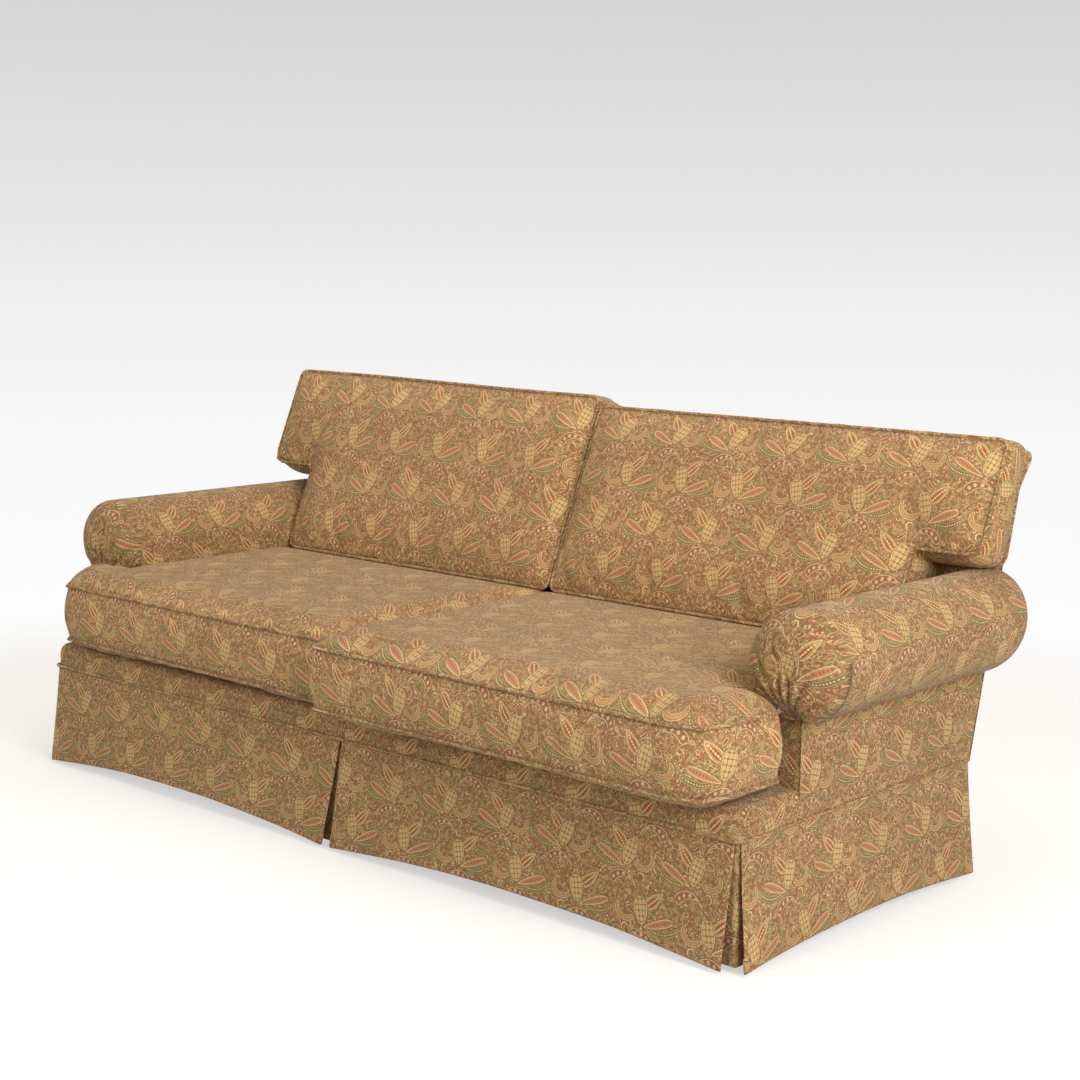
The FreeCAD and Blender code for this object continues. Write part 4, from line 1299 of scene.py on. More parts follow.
@dataclass
class Finishes:
    """Every material of the sofa, made once."""

    cover: Material = field(init=False)
    seat: Material = field(init=False)
    hessian: Material = field(init=False)
    dust: Material = field(init=False)
    webbing: Material = field(init=False)
    frame_wood: Material = field(init=False)
    leg_wood: Material = field(init=False)
    spring: Material = field(init=False)
    bolt: Material = field(init=False)
    glide: Material = field(init=False)

    def __post_init__(self) -> None:
        """Make the materials."""
        groups = ClothGroups()
        self.cover = PaisleyCloth().make(groups)
        # The seat tops take a second copy of the cover, faded more strongly in patches towards a darker
        # brown.
        self.seat = PaisleyCloth("paisley_worn_seat", fade=0.36).make(groups)
        self.hessian = PlainCloth("hessian", (176, 142, 98), 500.0).make()
        self.dust = PlainCloth("black_dust_cloth", (38, 38, 40), 900.0).make()
        self.webbing = PlainCloth("jute_webbing", (186, 156, 110), 600.0).make()
        self.frame_wood = Timber("frame_wood", (201, 170, 126), (170, 134, 92)).make()
        self.leg_wood = Timber("leg_wood", (92, 58, 38), (58, 34, 22), 0.45).make()
        self.spring = Metal("spring_steel", (120, 122, 126), 0.4).make()
        self.bolt = Metal("bolt_steel", (190, 190, 186), 0.3).make()
        self.glide = Plastic("glide_plastic", (60, 58, 55)).make()


# Pieces


def settle(
    piece: Piece,
    body: str,
    replaces: Sequence[str] = (),
) -> Piece:
    """Give a finished piece its body and hide the nodes that it stands for.

    Args:
        piece: the piece.
        body: the body it rides on.
        replaces: CAD nodes it stands for.

    Returns:
        The same piece.
    """
    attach(piece, body)
    if replaces:
        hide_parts(*replaces)
    return piece


@dataclass
class ClothPhysics:
    """How a stuffed piece is inflated: pressure, seams held, spare cloth and a cap on travel."""

    pressure: float = 4.0
    frames: int = 20
    spare: float = -0.03
    travel: float = 0.016

    def inflate(
        self, piece: Piece, held: Sequence[int], limit: Callable[[Vector], Vector] | None = None
    ) -> None:
        """Run the cloth on a piece and keep the shape that it finds.

        Args:
            piece: the closed piece.
            held: numbers of the points that stay where they are.
            limit: keeps a point clear of its neighbours.
        """
        start = [point.co.copy() for point in piece.data.vertices]
        group = piece.vertex_groups.new(name="held")
        group.add(list(held), 1.0, "REPLACE")
        step = piece.modifiers.new("Stuffing", "CLOTH")
        cloth = step.settings
        cloth.use_pressure = True
        cloth.uniform_pressure_force = self.pressure
        cloth.shrink_min = self.spare
        cloth.shrink_max = self.spare
        cloth.vertex_group_mass = "held"
        cloth.tension_stiffness = 15.0
        cloth.compression_stiffness = 15.0
        cloth.bending_stiffness = 0.8
        cloth.mass = 0.3
        cloth.air_damping = 2.0
        cloth.quality = 6
        cloth.effector_weights.gravity = 0.0
        step.collision_settings.use_collision = False
        step.point_cache.frame_start = 1
        step.point_cache.frame_end = self.frames
        for number in range(1, self.frames + 1):
            bpy.context.scene.frame_set(number)
        applied(piece)
        bpy.context.scene.frame_set(1)
        for point, first in zip(piece.data.vertices, start):
            move = point.co - first
            if move.length > self.travel:
                move = move * (self.travel / move.length)
            place = first + move
            point.co = limit(place) if limit else place


@dataclass
class Welt:
    """A covered cord sewn into a seam."""

    radius: float = 0.0042
    around: int = 8

    def sew(self, name: str, line: Sequence[Vector], finish: Material, body: str) -> Piece:
        """Sew a welt along a closed line.

        Args:
            name: the piece's name.
            line: the points it follows.
            finish: its material.
            body: the body it rides on.

        Returns:
            The welt.
        """
        work = Panelwork()
        total = len(line)
        rows = []
        guide = Vector((0.0, 0.0, 1.0))
        for number in range(total):
            along = (line[(number + 1) % total] - line[number - 1]).normalized()
            side = along.cross(guide)
            if side.length < 0.2:
                side = along.cross(Vector((0.0, 1.0, 0.0)))
            side.normalize()
            guide = side.cross(along).normalized()
            ring = []
            for turn in range(self.around):
                angle = 2 * math.pi * turn / self.around
                away = side * (self.radius * math.cos(angle)) + guide * (self.radius * math.sin(angle))
                ring.append(line[number] + away)
            rows.append(work.add_points(ring))
        rows.append(rows[0])
        reach = lengths_along(line, closed=True)
        girth = 2 * math.pi * self.radius / self.around
        work.add_rows(
            rows,
            lambda row, column: (0.7 * reach[row] + column * girth, 0.7 * reach[row]),
            closed=True,
            turned=True,
        )
        return settle(work.build(name, [finish]), body)


@dataclass
class LooseCushion:
    """What both kinds of loose cushion share: a side, the finishes, and how they are closed."""

    side: Side
    finishes: Finishes

    def close(
        self,
        kind: str,
        work: Panelwork,
        seams: dict[str, list[int]],
        covers: Sequence[Material],
        fit: tuple[Flat, float, float],
        limit: Callable[[Vector], Vector] | None = None,
    ) -> Piece:
        """Stuff a sewn cover and sew its welts.

        Args:
            kind: seat or back.
            work: the sewn cover, for the right-hand side.
            seams: the points of each seam, by the word for it.
            covers: the cover's materials.
            fit: the cloth's shift under the pattern, the cap on its travel and how full it is.
            limit: keeps a point clear of its neighbours.

        Returns:
            The cushion.
        """
        word = self.side.word
        body = f"{kind}_{word}"
        shift, travel, full = fit
        # Seam distances that darken the cover near the seams: seam dirt and painted shade.
        work.mark_seams(seams.values())
        if self.side is Side.LEFT:
            work.mirror()
        work.shift_cloth(*shift, self.side.value)
        piece = work.build(f"{kind}_cushion_{word}_cover", covers)
        ClothPhysics(travel=travel).inflate(piece, sum(seams.values(), []), limit)
        lines = {
            seam: [piece.data.vertices[number].co.copy() for number in loop] for seam, loop in seams.items()
        }
        refined(piece)
        settle(piece, body, [f"{kind}_cushion_{word}", f"{kind}_core_{word}"])
        for seam, line in lines.items():
            Welt().sew(f"{kind}_cushion_{word}_{seam}_welt", line, self.finishes.cover, body)
        LOG.info("%s cushion %s: %d faces", kind, word, len(piece.data.polygons))
        return piece


@dataclass
class SeatCushion(LooseCushion):
    """A loose boxed seat cushion with an ear that wraps round the front of the arm."""

    front: float
    inner: float = 0.0042
    outer: float = 1.0215
    arm_line: float = 0.9225
    ear_rear: float = -0.2675
    rear: float = 0.3115
    low_seam: float = 0.325
    high_seam: float = 0.455
    foot: float = 0.3008
    crown: float = 0.495
    bulge: float = 0.0075
    boxing_rows: int = 9

    def outline(self) -> Outline:
        """Return the seams' outline in plan, for the right-hand cushion."""
        return Outline(
            [
                Corner((self.inner, self.front), 0.016),
                Corner((self.outer, self.front), 0.075),
                Corner((self.outer, self.ear_rear), 0.022),
                Corner((self.arm_line, self.ear_rear), 0.016),
                Corner((self.arm_line, self.rear), 0.012),
                Corner((self.inner, self.rear), 0.012),
            ]
        )

    def ceiling(self, y: float) -> float:
        """Return the highest that the seat may rise, under the back cushion behind."""
        return self.crown - 0.04 * min(max((y - 0.146) / 0.166, 0.0), 1.0)

    def build(self) -> Piece:
        """Build the cushion with its welts.

        Returns:
            The cushion.
        """
        flat = self.outline().points()
        work = Panelwork()
        low = work.add_points(Vector((spot.x, spot.y, self.low_seam)) for spot in flat)
        rows = [low]
        outward = outward_normals(flat)
        for row in range(1, self.boxing_rows):
            share = row / self.boxing_rows
            swell = self.bulge * math.sin(math.pi * share)
            height = mixed(self.low_seam, self.high_seam, share)
            rows.append(
                work.add_points(
                    Vector((spot.x + out.x * swell, spot.y + out.y * swell, height))
                    for spot, out in zip(flat, outward)
                )
            )
        high = work.add_points(Vector((spot.x, spot.y, self.high_seam)) for spot in flat)
        rows.append(high)
        reach = lengths_along(flat, closed=True)
        step = (self.high_seam - self.low_seam) / self.boxing_rows
        work.add_rows(rows, lambda row, column: (reach[column], row * step + 0.11), closed=True, finish=1)
        work.add_filled(high, flat, 0.0125, self._top)
        work.add_filled(low, flat, 0.02, self._bottom, turned=True)
        seams = {"low": low, "high": high}
        covers = [self.finishes.seat, self.finishes.cover]
        return self.close("seat", work, seams, covers, ((-0.17, -0.065), 0.007, 0.75), self._limit)

    def _top(self, spot: Vector, distance: float) -> Vector:
        """Place a point of the top panel."""
        rise = (self.crown - self.high_seam) * (1.0 - (1.0 - min(distance / 0.1, 1.0)) ** 2.4)
        place = Vector((spot.x, spot.y, self.high_seam + rise))
        place.z += 0.003 * ripple(place, 0.21, 3.0) * min(distance / 0.08, 1.0)
        place.z = min(place.z, self.ceiling(spot.y))
        return place

    def _bottom(self, spot: Vector, distance: float) -> Vector:
        """Place a point of the bottom panel."""
        drop = (self.low_seam - self.foot) * (1.0 - (1.0 - min(distance / 0.05, 1.0)) ** 2)
        return Vector((spot.x, spot.y, self.low_seam - drop))

    def _limit(self, place: Vector) -> Vector:
        """Keep a point clear of the deck below and the back cushion above."""
        return Vector((place.x, place.y, min(max(place.z, self.foot), self.ceiling(place.y) + 0.001)))


@dataclass
class BackCushion(LooseCushion):
    """A loose boxed back cushion with an ear that hooks over the arm."""

    raise_mid: float = 0.0
    inner: float = 0.005
    arm_line: float = 0.9215
    outer: float = 1.076
    foot_front: Flat = (0.224, 0.4825)
    foot_rear: Flat = (0.362, 0.4825)
    head_front: Flat = (0.402, 0.9)
    head_rear: Flat = (0.503, 0.868)
    bend_rear: Flat = (0.448, 0.8)
    ear_front: float = 0.462
    ear_rear: float = 0.405
    crown: float = 0.03
    boxing_rows: int = 8

    def _face(self, share: float, front: bool) -> Flat:
        """Return y and z at a share of the height of the front or rear panel."""
        low, high = (self.foot_front, self.head_front) if front else (self.foot_rear, self.head_rear)
        if front:
            return mixed(low[0], high[0], share), mixed(low[1], high[1], share)
        knee = 0.83
        if share < knee:
            part = share / knee
            return mixed(low[0], self.bend_rear[0], part), mixed(low[1], self.bend_rear[1], part)
        part = (share - knee) / (1 - knee)
        return mixed(self.bend_rear[0], high[0], part), mixed(self.bend_rear[1], high[1], part)

    def _tall(self) -> float:
        """Return the height of the front panel along its own slope."""
        return math.hypot(self.head_front[0] - self.foot_front[0], self.head_front[1] - self.foot_front[1])

    def outline(self, ear: float) -> Outline:
        """Return the outline of a panel: x across and height along its slope.

        Args:
            ear: the share of the height at which the ear starts.

        Returns:
            The outline, for the right-hand cushion.
        """
        tall = self._tall()
        return Outline(
            [
                Corner((self.inner, 0.0), 0.022),
                Corner((self.arm_line, 0.0), 0.022),
                Corner((self.arm_line, tall * ear), 0.014),
                Corner((self.outer, tall * ear), 0.03),
                Corner((self.outer, tall), 0.022),
                Corner((self.inner, tall), 0.022),
            ]
        )

    def _place(self, spot: Vector, front: bool) -> Vector:
        """Place a point of a panel's plane."""
        y, z = self._face(spot.y / self._tall(), front)
        share = spot.y / self._tall()
        lift = self.raise_mid * share * self._wave(spot.x)
        return Vector((spot.x, y + lift * 0.35, z + lift))

    def _wave(self, x: float) -> float:
        """Return how much of the extra height a place along the top has."""
        return 0.72 + 0.28 * smooth_step(0.1, 0.95, x)

    def build(self) -> Piece:
        """Build the cushion with its welts.

        Returns:
            The cushion.
        """
        front_outline = self.outline(self.ear_front)
        rear_outline = self.outline(self.ear_rear)
        counts = front_outline.counts()
        front_flat = front_outline.points(counts)
        rear_flat = rear_outline.points(counts)
        work = Panelwork()
        rear = work.add_points(self._place(spot, False) for spot in rear_flat)
        front_places = [self._place(spot, True) for spot in front_flat]
        rows = [rear]
        outward = outward_normals(front_flat)
        up = self._slope()
        for row in range(1, self.boxing_rows):
            share = row / self.boxing_rows
            ring = []
            for number, out in enumerate(outward):
                place = work.points[rear[number]].lerp(front_places[number], share)
                swell = 0.007 * math.sin(math.pi * share)
                free = 1.0 if front_flat[number].y > 0.05 else 0.0
                ring.append(place + (Vector((1.0, 0.0, 0.0)) * out.x + up * out.y) * swell * free)
            rows.append(work.add_points(ring))
        front = work.add_points(front_places)
        rows.append(front)
        reach = lengths_along(front_flat, closed=True)
        work.add_rows(rows, lambda row, column: (reach[column], row * 0.014), closed=True)
        work.add_filled(front, front_flat, 0.0125, self._crowned)
        work.add_filled(rear, rear_flat, 0.02, lambda spot, _: self._place(spot, False), turned=True)
        seams = {"rear": rear, "front": front}
        return self.close("back", work, seams, [self.finishes.cover], ((-0.17, -0.29), 0.009, 0.8))

    def _crowned(self, spot: Vector, distance: float) -> Vector:
        """Place a point inside the front panel, swelled by the filling."""
        place = self._place(spot, True)
        rise = self.crown * (1.0 - (1.0 - min(distance / 0.13, 1.0)) ** 2.2)
        out = Vector((0.0, -self._slope().z, self._slope().y))
        return place + out * rise

    def _slope(self) -> Vector:
        """Return the direction up the front panel."""
        back = self.head_front[0] - self.foot_front[0]
        rise = self.head_front[1] - self.foot_front[1]
        return Vector((0.0, back, rise)).normalized()


PLEATS = (
    (-1.3, 0.1),
    (-1.0, 0.13),
    (-0.72, 0.15),
    (-0.44, 0.17),
    (-0.16, 0.175),
    (0.14, 0.15),
    (0.48, 0.12),
    (0.9, 0.09),
)
"""The arm's pleats: each one's turn from upright, in radians, and its length."""


@dataclass
class RolledArm:
    """A low rolled arm: scroll-shaped cover, domed and pleated front, closed rear end."""

    side: Side
    finishes: Finishes
    centre_x: float = 1.035
    centre_z: float = 0.532
    radius: float = 0.1045
    dome: float = 0.0595
    dome_inset: float = 0.078
    foot: float = 0.25
    rear_foot: float = 0.38
    around: int = 105
    straight: int = 14
    columns: int = 30
    dome_rows: int = 18
    gather_z: float = 0.434

    def _profile(self) -> list[Flat]:
        """Return the cover's profile from the seat, over the roll, to under its outer side."""
        line = []
        for step in range(self.straight):
            line.append((ARM_LINE, mixed(self.foot, self.centre_z, step / self.straight)))
        for step in range(self.around + 1):
            angle = math.pi - 1.5 * math.pi * step / self.around
            line.append(
                (self.centre_x + self.radius * math.cos(angle), self.centre_z + self.radius * math.sin(angle))
            )
        return line

    def build(self) -> Piece:
        """Build the arm's cover.

        Returns:
            The cover.
        """
        work = Panelwork()
        profile = self._profile()
        rows = []
        lengths = lengths_along(profile)
        spans = []
        for x, z in profile:
            end = self.rear_foot + (z - 0.427) * RAKE
            spans.append((ARM_FACE, end))
            rows.append(work.add_line(Vector((x, ARM_FACE, z)), Vector((x, end, z)), self.columns))
        total = lengths[-1] if self.side is Side.RIGHT else 0.0

        def cloth(row: int, column: int) -> Flat:
            """Return the cloth coordinates, which follow the roll round."""
            along = mixed(spans[row][0], spans[row][1], column / self.columns)
            return along, abs(total - lengths[row]) - 0.12

        work.add_rows(rows, cloth, turned=True)
        self._add_dome(work, rows)
        self._add_front(work)
        rim = [row[-1] for row in rows[self.straight:]]
        hub = work.add_points([Vector((self.centre_x, self.rear_foot + 0.105 * RAKE, self.centre_z))])[0]
        work.add_fan(rim, hub)
        self._mark_fold_shade(work)
        if self.side is Side.LEFT:
            work.mirror()
        word = self.side.word
        piece = work.build(f"arm_{word}_cover", [self.finishes.cover])
        refined(piece)
        settle(piece, "root", [f"arm_cover_{word}", f"arm_pad_{word}"])
        LOG.info("arm %s: %d faces", word, len(piece.data.polygons))
        return piece

    def _add_dome(self, work: Panelwork, rows: list[list[int]]) -> None:
        """Add the domed front end of the roll, pleated into its lowest outer point."""
        spots = [row[0] for row in rows[self.straight:]]
        quarter = self.around // 3
        for step in range(1, quarter):
            angle = -0.5 * math.pi - 0.5 * math.pi * step / quarter
            x = self.centre_x + self.radius * math.cos(angle)
            z = self.centre_z + self.radius * math.sin(angle)
            spots += work.add_points([Vector((x, ARM_FACE, z))])
        rings = [spots]
        base = [work.points[number].copy() for number in spots]
        hub = Vector((self.centre_x, ARM_FACE - self.dome, self.centre_z + 0.012))
        for step in range(1, self.dome_rows):
            angle = 0.5 * math.pi * step / self.dome_rows
            inset = self.dome_inset * (1 - math.cos(angle)) / self.radius
            forward = self.dome * math.sin(angle)
            ring = []
            for spot in base:
                place = spot.lerp(hub, inset)
                place.y = ARM_FACE - forward
                place.y += self._pleat(place)
                ring.append(place)
            rings.append(work.add_points(ring))

        def cloth(row: int, column: int) -> Flat:
            """Return the cloth coordinates on the dome, laid flat on it from the front."""
            ring = rings[row]
            spot = work.points[ring[column % len(ring)]]
            return spot.x - 0.9, spot.z - 0.55

        work.add_rows(rings, cloth, closed=True, turned=True)
        last = rings[-1]
        middle = work.add_points([hub])[0]
        work.add_fan(last + last[:1], middle, turned=True)

    def _crease(self, place: Vector) -> float:
        """Return a place's distance to the nearest of the pleats that meet at the dome's foot."""
        across = place.x - self.centre_x
        up = place.z - self.gather_z
        reach = math.hypot(across, up)
        fan = math.atan2(across, up)
        nearest = 0.1
        for turn, length in PLEATS:
            aside = abs(reach * math.sin(min(abs(fan - turn * (1.0 + reach)), 1.5)))
            nearest = min(nearest, aside + 0.12 * max(0.0, reach - 0.7 * length))
        return nearest

    def _pleat(self, place: Vector) -> float:
        """Return how far the pleats draw a place of the dome back, deepest where they meet."""
        reach = math.hypot(place.x - self.centre_x, place.z - self.gather_z)
        fold = 0.008 * smooth_step(0.009, 0.0, self._crease(place))
        return fold + 0.016 * smooth_step(0.04, 0.0, reach)

    def _mark_fold_shade(self, work: Panelwork) -> None:
        """Note each point's distance to the nearest pleat, or to the fold round the dome's outer foot, where
        the cover darkens as painted shade.
        """
        for number, place in enumerate(work.points):
            nearest = CLEAR
            if place.y < ARM_FACE - 0.0005:
                nearest = min(nearest, self._crease(place))
            turn = math.atan2(place.z - self.centre_z, place.x - self.centre_x)
            if -0.5 * math.pi < turn < 0.2:
                nearest = min(nearest, abs(place.y - ARM_FACE))
            work.seam[number] = nearest

    def _add_front(self, work: Panelwork) -> None:
        """Add the flat front of the arm below and beside its dome."""
        rows = []
        across = 8
        up = 18
        for level in range(up + 1):
            z = mixed(self.foot, 0.532, level / up)
            y = ARM_FACE + 0.0005
            rows.append(work.add_line(Vector((ARM_LINE, y, z)), Vector((1.0395, y, z)), across))
        work.add_rows(rows, work.laid(rows))


@dataclass
class OutsideArm:
    """The flat panel on the arm's outer side."""

    side: Side
    finishes: Finishes
    x: float = 1.0395
    foot: float = 0.2435
    top: float = 0.43
    rear_foot: float = 0.3615

    def build(self) -> Piece:
        """Build the panel and return it."""
        work = Panelwork()
        rows = []
        across = 40
        up = 12
        sign = self.side.value
        for level in range(up + 1):
            z = mixed(self.foot, self.top, level / up)
            end = self.rear_foot + (z - self.foot) * RAKE
            ring = []
            for step in range(across + 1):
                y = mixed(ARM_FACE, end, step / across)
                swell = 0.004 * math.sin(math.pi * level / up) * math.sin(math.pi * step / across) ** 0.5
                ring.append(Vector((sign * (self.x + swell), y, z)))
            rows.append(work.add_points(ring))
        place = work.laid(rows, across=1)
        work.add_rows(
            rows,
            lambda row, column: (sign * place(row, column)[0], place(row, column)[1]),
            turned=sign < 0,
        )
        word = self.side.word
        piece = work.build(f"outside_arm_{word}_cover", [self.finishes.cover])
        refined(piece)
        settle(piece, "root", [f"outside_arm_{word}"])
        return piece


@dataclass
class Platform:
    """The deck under the seat cushions, with the band that shows above the skirt."""

    finishes: Finishes
    front: float = -0.4245
    rear: float = 0.326
    foot: float = 0.2425
    top: float = 0.3
    edge: float = 0.027
    corner: float = 0.03

    def build(self) -> Piece:
        """Build the platform cover and return it."""
        corners = [
            Corner((-HALF_WIDTH, self.front), self.corner),
            Corner((HALF_WIDTH, self.front), self.corner),
            Corner((HALF_WIDTH, ARM_FACE + 0.02), 0.0),
            Corner((ARM_LINE - 0.002, ARM_FACE + 0.02), 0.0),
            Corner((ARM_LINE - 0.002, self.rear), 0.0),
            Corner((-ARM_LINE + 0.002, self.rear), 0.0),
            Corner((-ARM_LINE + 0.002, ARM_FACE + 0.02), 0.0),
            Corner((-HALF_WIDTH, ARM_FACE + 0.02), 0.0),
        ]
        flat = Outline(corners, 0.02).points()
        outward = outward_normals(flat)
        work = Panelwork()
        rows = []
        heights = []
        band = self.top - self.edge
        for step in range(5):
            heights.append((0.0, mixed(self.foot, band, step / 5)))
        for step in range(7):
            angle = 0.5 * math.pi * step / 6
            heights.append((self.edge * (1 - math.cos(angle)), band + self.edge * math.sin(angle)))
        for inset, z in heights:
            ring = []
            for spot, out in zip(flat, outward):
                soft = 1.0 if spot.y < ARM_FACE else 0.15
                ring.append(Vector((spot.x - out.x * inset * soft, spot.y - out.y * inset * soft, z)))
            rows.append(work.add_points(ring))
        reach = lengths_along(flat, closed=True)
        up = lengths_along(heights)
        work.add_rows(rows, lambda row, column: (reach[column], up[row]), closed=True)
        rim = rows[-1]
        rim_flat = [work.points[number].to_2d() for number in rim]
        deck = self.top - 0.0005
        work.add_filled(rim, rim_flat, 0.04, lambda spot, _: Vector((spot.x, spot.y, deck)))
        piece = work.build("platform_cover_band", [self.finishes.cover])
        refined(piece)
        settle(piece, "root", ["platform_cover", "deck_pad", "front_edge_roll"])
        LOG.info("platform: %d faces", len(piece.data.polygons))
        return piece


@dataclass
class InsideBack:
    """The padded inside of the back, behind the loose cushions."""

    finishes: Finishes
    arm_top: float = 0.637

    def build(self) -> Piece:
        """Build the cover and return it."""
        section = [
            (0.323, 0.302),
            (0.344, 0.382),
            (0.366, 0.462),
            (0.388, 0.545),
            (0.410, 0.637),
            (0.428, 0.712),
            (0.437, 0.75),
            (0.443, 0.776),
            (0.449, 0.789),
            (0.459, 0.7955),
            (0.47, 0.796),
            (0.484, 0.792),
            (0.5, 0.787),
        ]
        work = Panelwork()
        across = 70
        rows = []
        up = lengths_along(section)
        for y, z in section:
            half = HALF_WIDTH if z > self.arm_top - 0.005 else ARM_LINE
            rows.append(work.add_line(Vector((-half, y, z)), Vector((half, y, z)), across))
        work.add_rows(rows, lambda row, column: (work.points[rows[row][column]].x, up[row]))
        for sign in (-1, 1):
            cheek = [row[0 if sign < 0 else -1] for row in rows[4:]]
            hub = work.add_points([Vector((sign * HALF_WIDTH, 0.468, 0.65))])[0]
            work.add_fan(cheek, hub, across=1, turned=sign < 0)
        piece = work.build("inside_back_panel", [self.finishes.cover])
        refined(piece)
        settle(piece, "root", ["inside_back_cover", "back_pad"])
        return piece


@dataclass
class OutsideBack:
    """The flat raked panel on the back of the sofa."""

    finishes: Finishes

    def build(self) -> Piece:
        """Build the panel and return it."""
        work = Panelwork()
        rows = []
        across = 80
        up = 24
        for level in range(up + 1):
            share = level / up
            ring = []
            for step in range(across + 1):
                swell = 0.004 * math.sin(math.pi * share) * math.sin(math.pi * step / across) ** 0.4
                ring.append(
                    Vector(
                        (
                            mixed(-HALF_WIDTH, HALF_WIDTH, step / across),
                            mixed(0.3665, 0.5065, share) + swell,
                            mixed(0.2435, 0.786, share),
                        )
                    )
                )
            rows.append(work.add_points(ring))
        place = work.laid(rows)
        work.add_rows(rows, lambda row, column: (-place(row, column)[0], row / up * 0.56 - 0.05), turned=True)
        piece = work.build("outside_back_panel", [self.finishes.cover])
        refined(piece)
        settle(piece, "root", ["outside_back"])
        return piece


@dataclass
class SkirtPanel:
    """One flared panel of the skirt with folded ends and a turned-up hem."""

    name: str
    node: str
    finishes: Finishes
    top_start: float
    top_end: float
    hem_start: float
    hem_end: float
    across: Vector
    out: Vector
    origin: Vector
    flare: float = 0.0195
    top: float = 0.243
    hem_ends: float = 0.006
    hem_middle: float = 0.034
    fold: float = 0.045
    cloth_start: float = 0.222
    cloth_low: float = 0.062

    def _hem(self, share: float) -> float:
        """Return the hem's height at a share of the panel's width."""
        return mixed(self.hem_ends, self.hem_middle, 4 * share * (1 - share) if 0 < share < 1 else 0.0)

    def _spot(self, share: float, drop: float, behind: float) -> Vector:
        """Return a point of the panel.

        Args:
            share: place along the panel, 0 to 1.
            drop: place down it, 0 at the seam and 1 at the hem.
            behind: how far it lies behind the face.

        Returns:
            The point.
        """
        seam = mixed(self.top_start, self.top_end, share)
        along = mixed(seam, mixed(self.hem_start, self.hem_end, share), drop)
        away = 0.002 + self.flare * drop**1.25 - behind
        away += 0.0035 * drop * ripple(Vector((along, 0.0, 0.0)), 0.22, 5.0 + self.top_start)
        height = mixed(self.top, self._hem(share), drop)
        return self.origin + self.across * along + self.out * away + Vector((0.0, 0.0, height))

    def build(self) -> Piece:
        """Build the panel and return it."""
        work = Panelwork()
        width = abs(self.top_end - self.top_start)
        steps = max(8, round(width / 0.016))
        back = self.fold / width
        line: list[tuple[float, float]] = []
        line += [(back * (1 - step / 3), 0.0052) for step in range(3)]
        line += [(0.003 / width, 0.0046), (0.0, 0.0026), (0.002 / width, 0.0006)]
        line += [(mixed(0.006 / width, 1 - 0.006 / width, step / steps), 0.0) for step in range(steps + 1)]
        line += [(1 - 0.002 / width, 0.0006), (1.0, 0.0026), (1 - 0.003 / width, 0.0046)]
        line += [(1 - back * step / 3, 0.0052) for step in range(1, 4)]
        drops: list[tuple[float, float]] = [(0.0, 0.0), (0.012, 0.0), (0.03, 0.0)]
        drops += [(step / 14, 0.0) for step in range(1, 14)]
        drops += [(0.97, 0.0), (0.993, 0.0003), (1.0, 0.0014)]
        drops += [(0.993, 0.0026), (0.96, 0.0029), (0.88, 0.0028)]
        rows = []
        for drop, deep in drops:
            rows.append(work.add_points(self._spot(share, drop, behind + deep) for share, behind in line))
        tall = self.top - self.hem_ends
        work.add_rows(
            rows,
            lambda row, column: (
                self.top_start + line[column][0] * width - self.cloth_start,
                self.top - (drops[row][0] * tall) - self.cloth_low,
            ),
        )
        # Painted shade: the seam distance rises from nought at the top seam, so the cover darkens in a narrow
        # band under the welt.
        for row, (drop, _) in zip(rows, drops):
            for number in row:
                work.seam[number] = min(CLEAR, 0.3 * drop)
        piece = work.build(self.name, [self.finishes.cover])
        refined(piece)
        settle(piece, "root", [self.node])
        return piece


@dataclass
class Underlay:
    """A backing strip behind a kick pleat."""

    name: str
    line: list[Flat]
    finishes: Finishes
    top: float = 0.24
    hem: float = 0.012

    def build(self) -> Piece:
        """Build the strip and return it."""
        spots: list[Vector] = []
        for here, there in zip(self.line, self.line[1:]):
            start = Vector(here)
            end = Vector(there)
            count = max(1, round((end - start).length / 0.01))
            spots += [start.lerp(end, step / count) for step in range(count)]
        spots.append(Vector(self.line[-1]))
        work = Panelwork()
        reach = lengths_along(spots)
        rows = []
        levels = 20
        for level in range(levels + 1):
            z = mixed(self.top, self.hem, level / levels)
            ring = []
            for number, spot in enumerate(spots):
                crease = 0.0012 * ripple(Vector((reach[number], z, 0.0)), 0.03, 9.0)
                ring.append(Vector((spot.x, spot.y + crease, z)))
            rows.append(work.add_points(ring))
        work.add_rows(rows, lambda row, column: (reach[column], work.points[rows[row][0]].z))
        piece = work.build(self.name, [self.finishes.cover])
        settle(piece, "root")
        return piece


